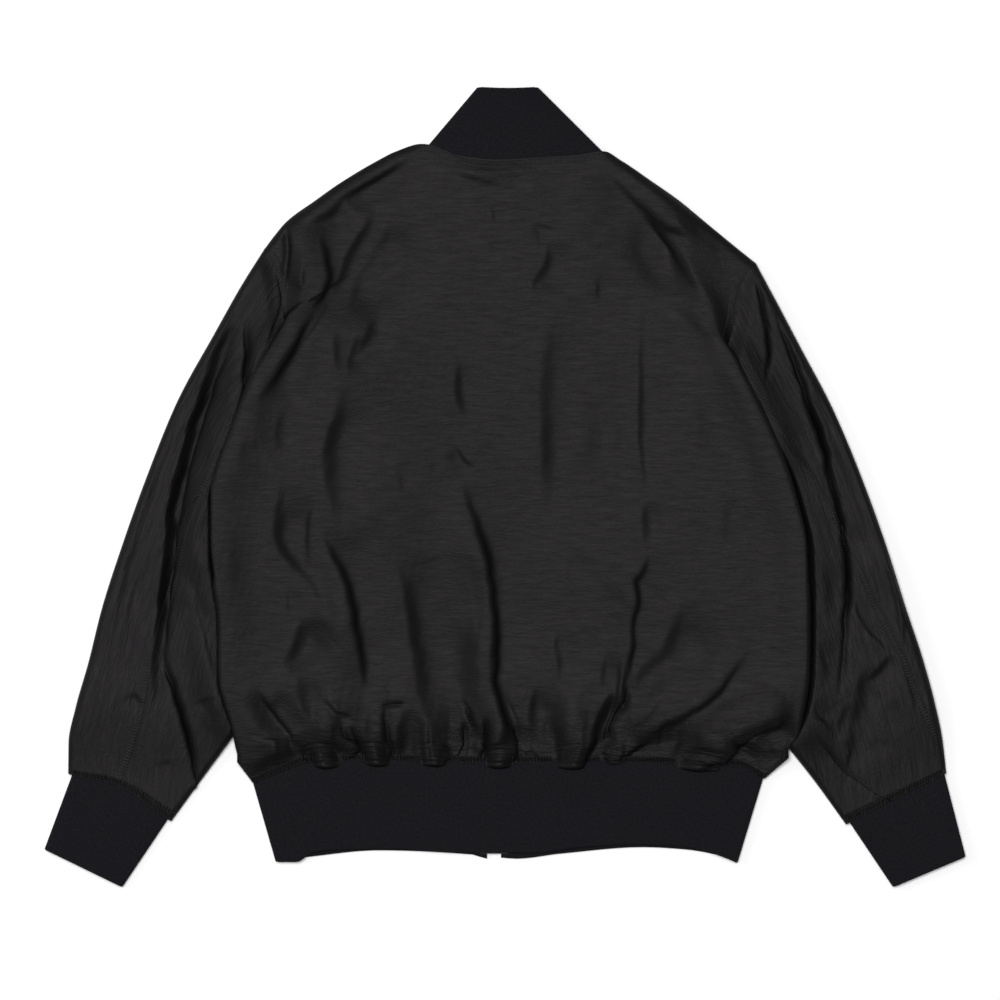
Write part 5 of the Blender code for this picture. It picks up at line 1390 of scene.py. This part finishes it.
def seam_strip(name, line_points, surface):
    """A double-stitched seam: a slightly raised, puckered strip that lies on the cloth."""
    line, way = even_line(line_points, STRIP_STEP)
    across = np.linspace(-0.5, 0.5, 9)
    rows, weave = [], []
    for i, (point, direction) in enumerate(zip(line, way)):
        side = np.array((-direction[1], direction[0]))
        row = []
        for share in across:
            x, y = point + side * share * STRIP_WIDTH
            z = set_down(surface, x, y)
            if z is None:
                break
            lift = 0.4 * float(rim((0.5 - abs(share)) * STRIP_WIDTH, 1.6)) - 0.15
            row.append((x, y, z + lift))
        if len(row) < len(across):
            continue
        rows.append(row)
        weave.append([(i * STRIP_STEP, share * STRIP_WIDTH) for share in across])
    grid, weave = np.array(rows), np.array(weave)
    full = np.ones(grid.shape[:2])
    strip = mesh_piece(name, grid, weave, shell,
                       {"rumple": 0.3 * full, "gather": 0.15 * full, "along": weave[..., 0]})
    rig.slot(strip, "shell")
    return strip


def stitch_row(line_points, surface, skip=None):
    """Corners and faces of a row of stitches along a line on the cloth."""
    points, faces = [], []
    line, way = even_line(line_points, STITCH_PITCH)
    ring = [(np.cos(a), np.sin(a)) for a in np.linspace(0, 2 * pi, THREAD_SIDES + 1)[:-1]]
    for point, direction in zip(line, way):
        if skip is not None and skip(point):
            continue
        side = np.array((-direction[1], direction[0]))
        first = len(points)
        for along, lift, thick in STITCH_SECTIONS:
            x, y = point + direction * along * STITCH_LENGTH
            z = set_down(surface, x, y)
            if z is None:
                del points[first:]
                break
            for out, up in ring:
                corner = np.array((x, y)) + side * out * THREAD * thick
                points.append((corner[0], corner[1], z + lift + up * THREAD * thick))
        if len(points) == first:
            continue
        for start in range(first, len(points) - THREAD_SIDES, THREAD_SIDES):
            for m in range(THREAD_SIDES):
                a, b = start + m, start + (m + 1) % THREAD_SIDES
                faces.append((a, b, b + THREAD_SIDES, a + THREAD_SIDES))
        faces += [tuple(range(first, first + THREAD_SIDES))[::-1],
                  tuple(range(len(points) - THREAD_SIDES, len(points)))]
    return points, faces


def stitches(name, lines, surface, skip=None):
    """Rows of stitches as one piece."""
    points, faces = [], []
    for line in lines:
        more_points, more_faces = stitch_row(line, surface, skip)
        faces += [[i + len(points) for i in face] for face in more_faces]
        points += more_points
    mesh = bpy.data.meshes.new(name)
    mesh.from_pydata((np.array(points) * MM).tolist(), [], faces)
    mesh.polygons.foreach_set("use_smooth", [True] * len(faces))
    piece = put(mesh, thread_finish)
    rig.slot(piece, "shell")
    return piece


def beside(line, offset):
    """A line moved to its left-hand side by an offset."""
    points, way = even_line(line, 4.0)
    return [tuple(p + offset * np.array((-w[1], w[0]))) for p, w in zip(points, way)]


def sewn_seam(name, line, surface):
    """A strip along a seam, with a row of stitches inside each of its borders."""
    strip = seam_strip(f"{name}_seam", line, surface)
    inset = STRIP_WIDTH / 2 - 0.9
    rows = stitches(f"{name}_stitches", [beside(line, inset), beside(line, -inset)], surface)
    return [strip, rows]


def sleeve_seam_line(half, start, end):
    """Where the back seam of a sleeve runs, from one share of its length to another."""
    line = []
    for t in np.linspace(start, end, 60):
        distance = half.station["seam"](t) * half.across(t)[-1] - STRIP_WIDTH / 2
        line.append(tuple(sleeve_point(half, t, distance, False)[:2]))
    return line


def cuff_line(cuff, above):
    """A line across a sleeve, some way above its cuff."""
    outer, inner = np.array(cuff.outer_top), np.array(cuff.inner_top)
    up = np.array((inner[1] - outer[1], outer[0] - inner[0]))
    up = up / np.linalg.norm(up) * np.sign(up[1])
    line = []
    for share in np.linspace(0.03, 0.97, 30):
        point = outer + (inner - outer) * share + up * above
        line.append((point[0], point[1] + cuff_bow(cuff, share)))
    return line


back_surface = surface_of(["back_cloth"])
neck_x = np.linspace(-84, 98, 60)
neck_line = [(x, back_top(x) - 4.4) for x in neck_x]
armholes = {
    "left": [(LEFT.armhole(y) + 4.2, y) for y in np.linspace(222, 186, 12)],
    "right": [(RIGHT.armhole(y) - 4.2, y) for y in np.linspace(205, 138, 16)],
}
sewing = {"back_cloth": sewn_seam("neck", neck_line, back_surface)}
for word, line in armholes.items():
    sewing["back_cloth"] += sewn_seam(f"armhole_{word}", line, back_surface)
hem_x = np.linspace(-234, 240, 160)
sewing["back_cloth"].append(stitches(
    "hem_stitches", [[(x, hem_seam(x) + above) for x in hem_x] for above in (1.6, 6.6)],
    back_surface, skip=lambda point: puff_share(np.array(point[0]))[0] > 0.25))
for word, half, cuff in (("left", LEFT, CUFF_LEFT), ("right", RIGHT, CUFF_RIGHT)):
    surface = surface_of([f"sleeve_outer_{word}_cloth", f"sleeve_inner_{word}_cloth"])
    pieces = sewn_seam(f"sleeve_{word}", sleeve_seam_line(half, 0.03, 0.97), surface)
    pieces.append(stitches(f"cuff_{word}_stitches", [cuff_line(cuff, 1.8), cuff_line(cuff, 6.8)],
                           surface))
    sewing[f"sleeve_outer_{word}_cloth"] = pieces

# Each piece as it was cut, flat: how wide, how long and what area in square metres
CUTS = (
    Cut("back_cloth", 0.64, 0.60, 0.339, ("front_left_cloth", "front_right_cloth")),
    Cut("front_left_cloth", 0.30, 0.59, 0.112, ()),
    Cut("front_right_cloth", 0.30, 0.59, 0.124, ()),
    Cut("sleeve_outer_left_cloth", 0.17, 0.58, 0.074, ()),
    Cut("sleeve_inner_left_cloth", 0.17, 0.50, 0.076, ()),
    Cut("sleeve_outer_right_cloth", 0.14, 0.58, 0.062, ()),
    Cut("sleeve_inner_right_cloth", 0.19, 0.50, 0.085, ()),
    Cut("hem_knit", 0.98, 0.165, 0.159, ()),
    Cut("collar_knit", 0.36, 0.135, 0.043, ()),
    Cut("cuff_left_knit", 0.20, 0.165, 0.031, ()),
    Cut("cuff_right_knit", 0.19, 0.165, 0.028, ()),
)
for cut in CUTS:
    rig.sheet({**shells, **ribs}[cut.piece], flat=(cut.width, cut.length), area=cut.area,
             held="laid", rests_on=cut.rests_on, with_pieces=sewing.get(cut.piece, []))

for name, finish in (("zip_tape_left", tape), ("zip_tape_right", tape),
                     ("zip_slider", metal), ("zip_pull", metal)):
    frame["nodes"][name].data.materials.clear()
    frame["nodes"][name].data.materials.append(finish)

# The floor, the light and the camera
FLOOR_REACH, FLOOR_Z = 3, -0.0006
CAMERA_HEIGHT, FOCUS_HEIGHT, SENSOR = 7.0, 0.010, 36.0
floor_mesh = bpy.data.meshes.new("floor")
floor_mesh.from_pydata([(x * FLOOR_REACH, y * FLOOR_REACH, FLOOR_Z)
                        for x, y in ((-1, -1), (1, -1), (1, 1), (-1, 1))], [], [(0, 1, 2, 3)])
floor = bpy.data.objects.new("floor", floor_mesh)
white = bpy.data.materials.new("white_floor")
white.use_nodes = True
for name, value in (("Base Color", (0.90, 0.90, 0.90, 1)), ("Roughness", 0.9),
                    ("Specular IOR Level", 0.0)):
    white.node_tree.nodes["Principled BSDF"].inputs[name].default_value = value
floor_mesh.materials.append(white)
bpy.context.scene.collection.objects.link(floor)
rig.stage(floor)

world = bpy.data.worlds.new("studio")
world.use_nodes = True
world.node_tree.nodes["Background"].inputs["Color"].default_value = (1.0, 1.0, 1.0, 1.0)
world.node_tree.nodes["Background"].inputs["Strength"].default_value = 0.16
bpy.context.scene.world = world


def area_light(name, place, size, power, aim=(0.0, 0.0, 0.0)):
    data = bpy.data.lights.new(name, "AREA")
    data.shape = "RECTANGLE"
    data.size, data.size_y = size
    data.energy = power
    lamp = bpy.data.objects.new(name, data)
    lamp.location = place
    lamp.rotation_euler = (Vector(aim) - Vector(place)).to_track_quat("-Z", "Y").to_euler()
    bpy.context.scene.collection.objects.link(lamp)


area_light("key", (-0.8, 0.9, 7.6), (3.6, 3.6), 600.0)
area_light("side", (-3.4, 0.6, 2.2), (1.6, 1.6), 26.0)

camera_data = bpy.data.cameras.new("camera")
camera = bpy.data.objects.new("camera", camera_data)
camera_data.sensor_width = SENSOR
camera_data.lens = SENSOR * (CAMERA_HEIGHT - FOCUS_HEIGHT) / (VIEW_WIDTH * MM)
camera_data.clip_end = 50.0
camera.location = (VIEW_X * MM, VIEW_Y * MM, CAMERA_HEIGHT)
bpy.context.scene.collection.objects.link(camera)
bpy.context.scene.camera = camera
bpy.context.scene.view_settings.view_transform = "Standard"

visual_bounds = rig.bounds()
with open("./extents.json", "w") as out:
    json.dump({"cad": [list(map(float, corner)) for corner in cad_bounds],
               "visual": [list(map(float, corner)) for corner in visual_bounds]}, out)
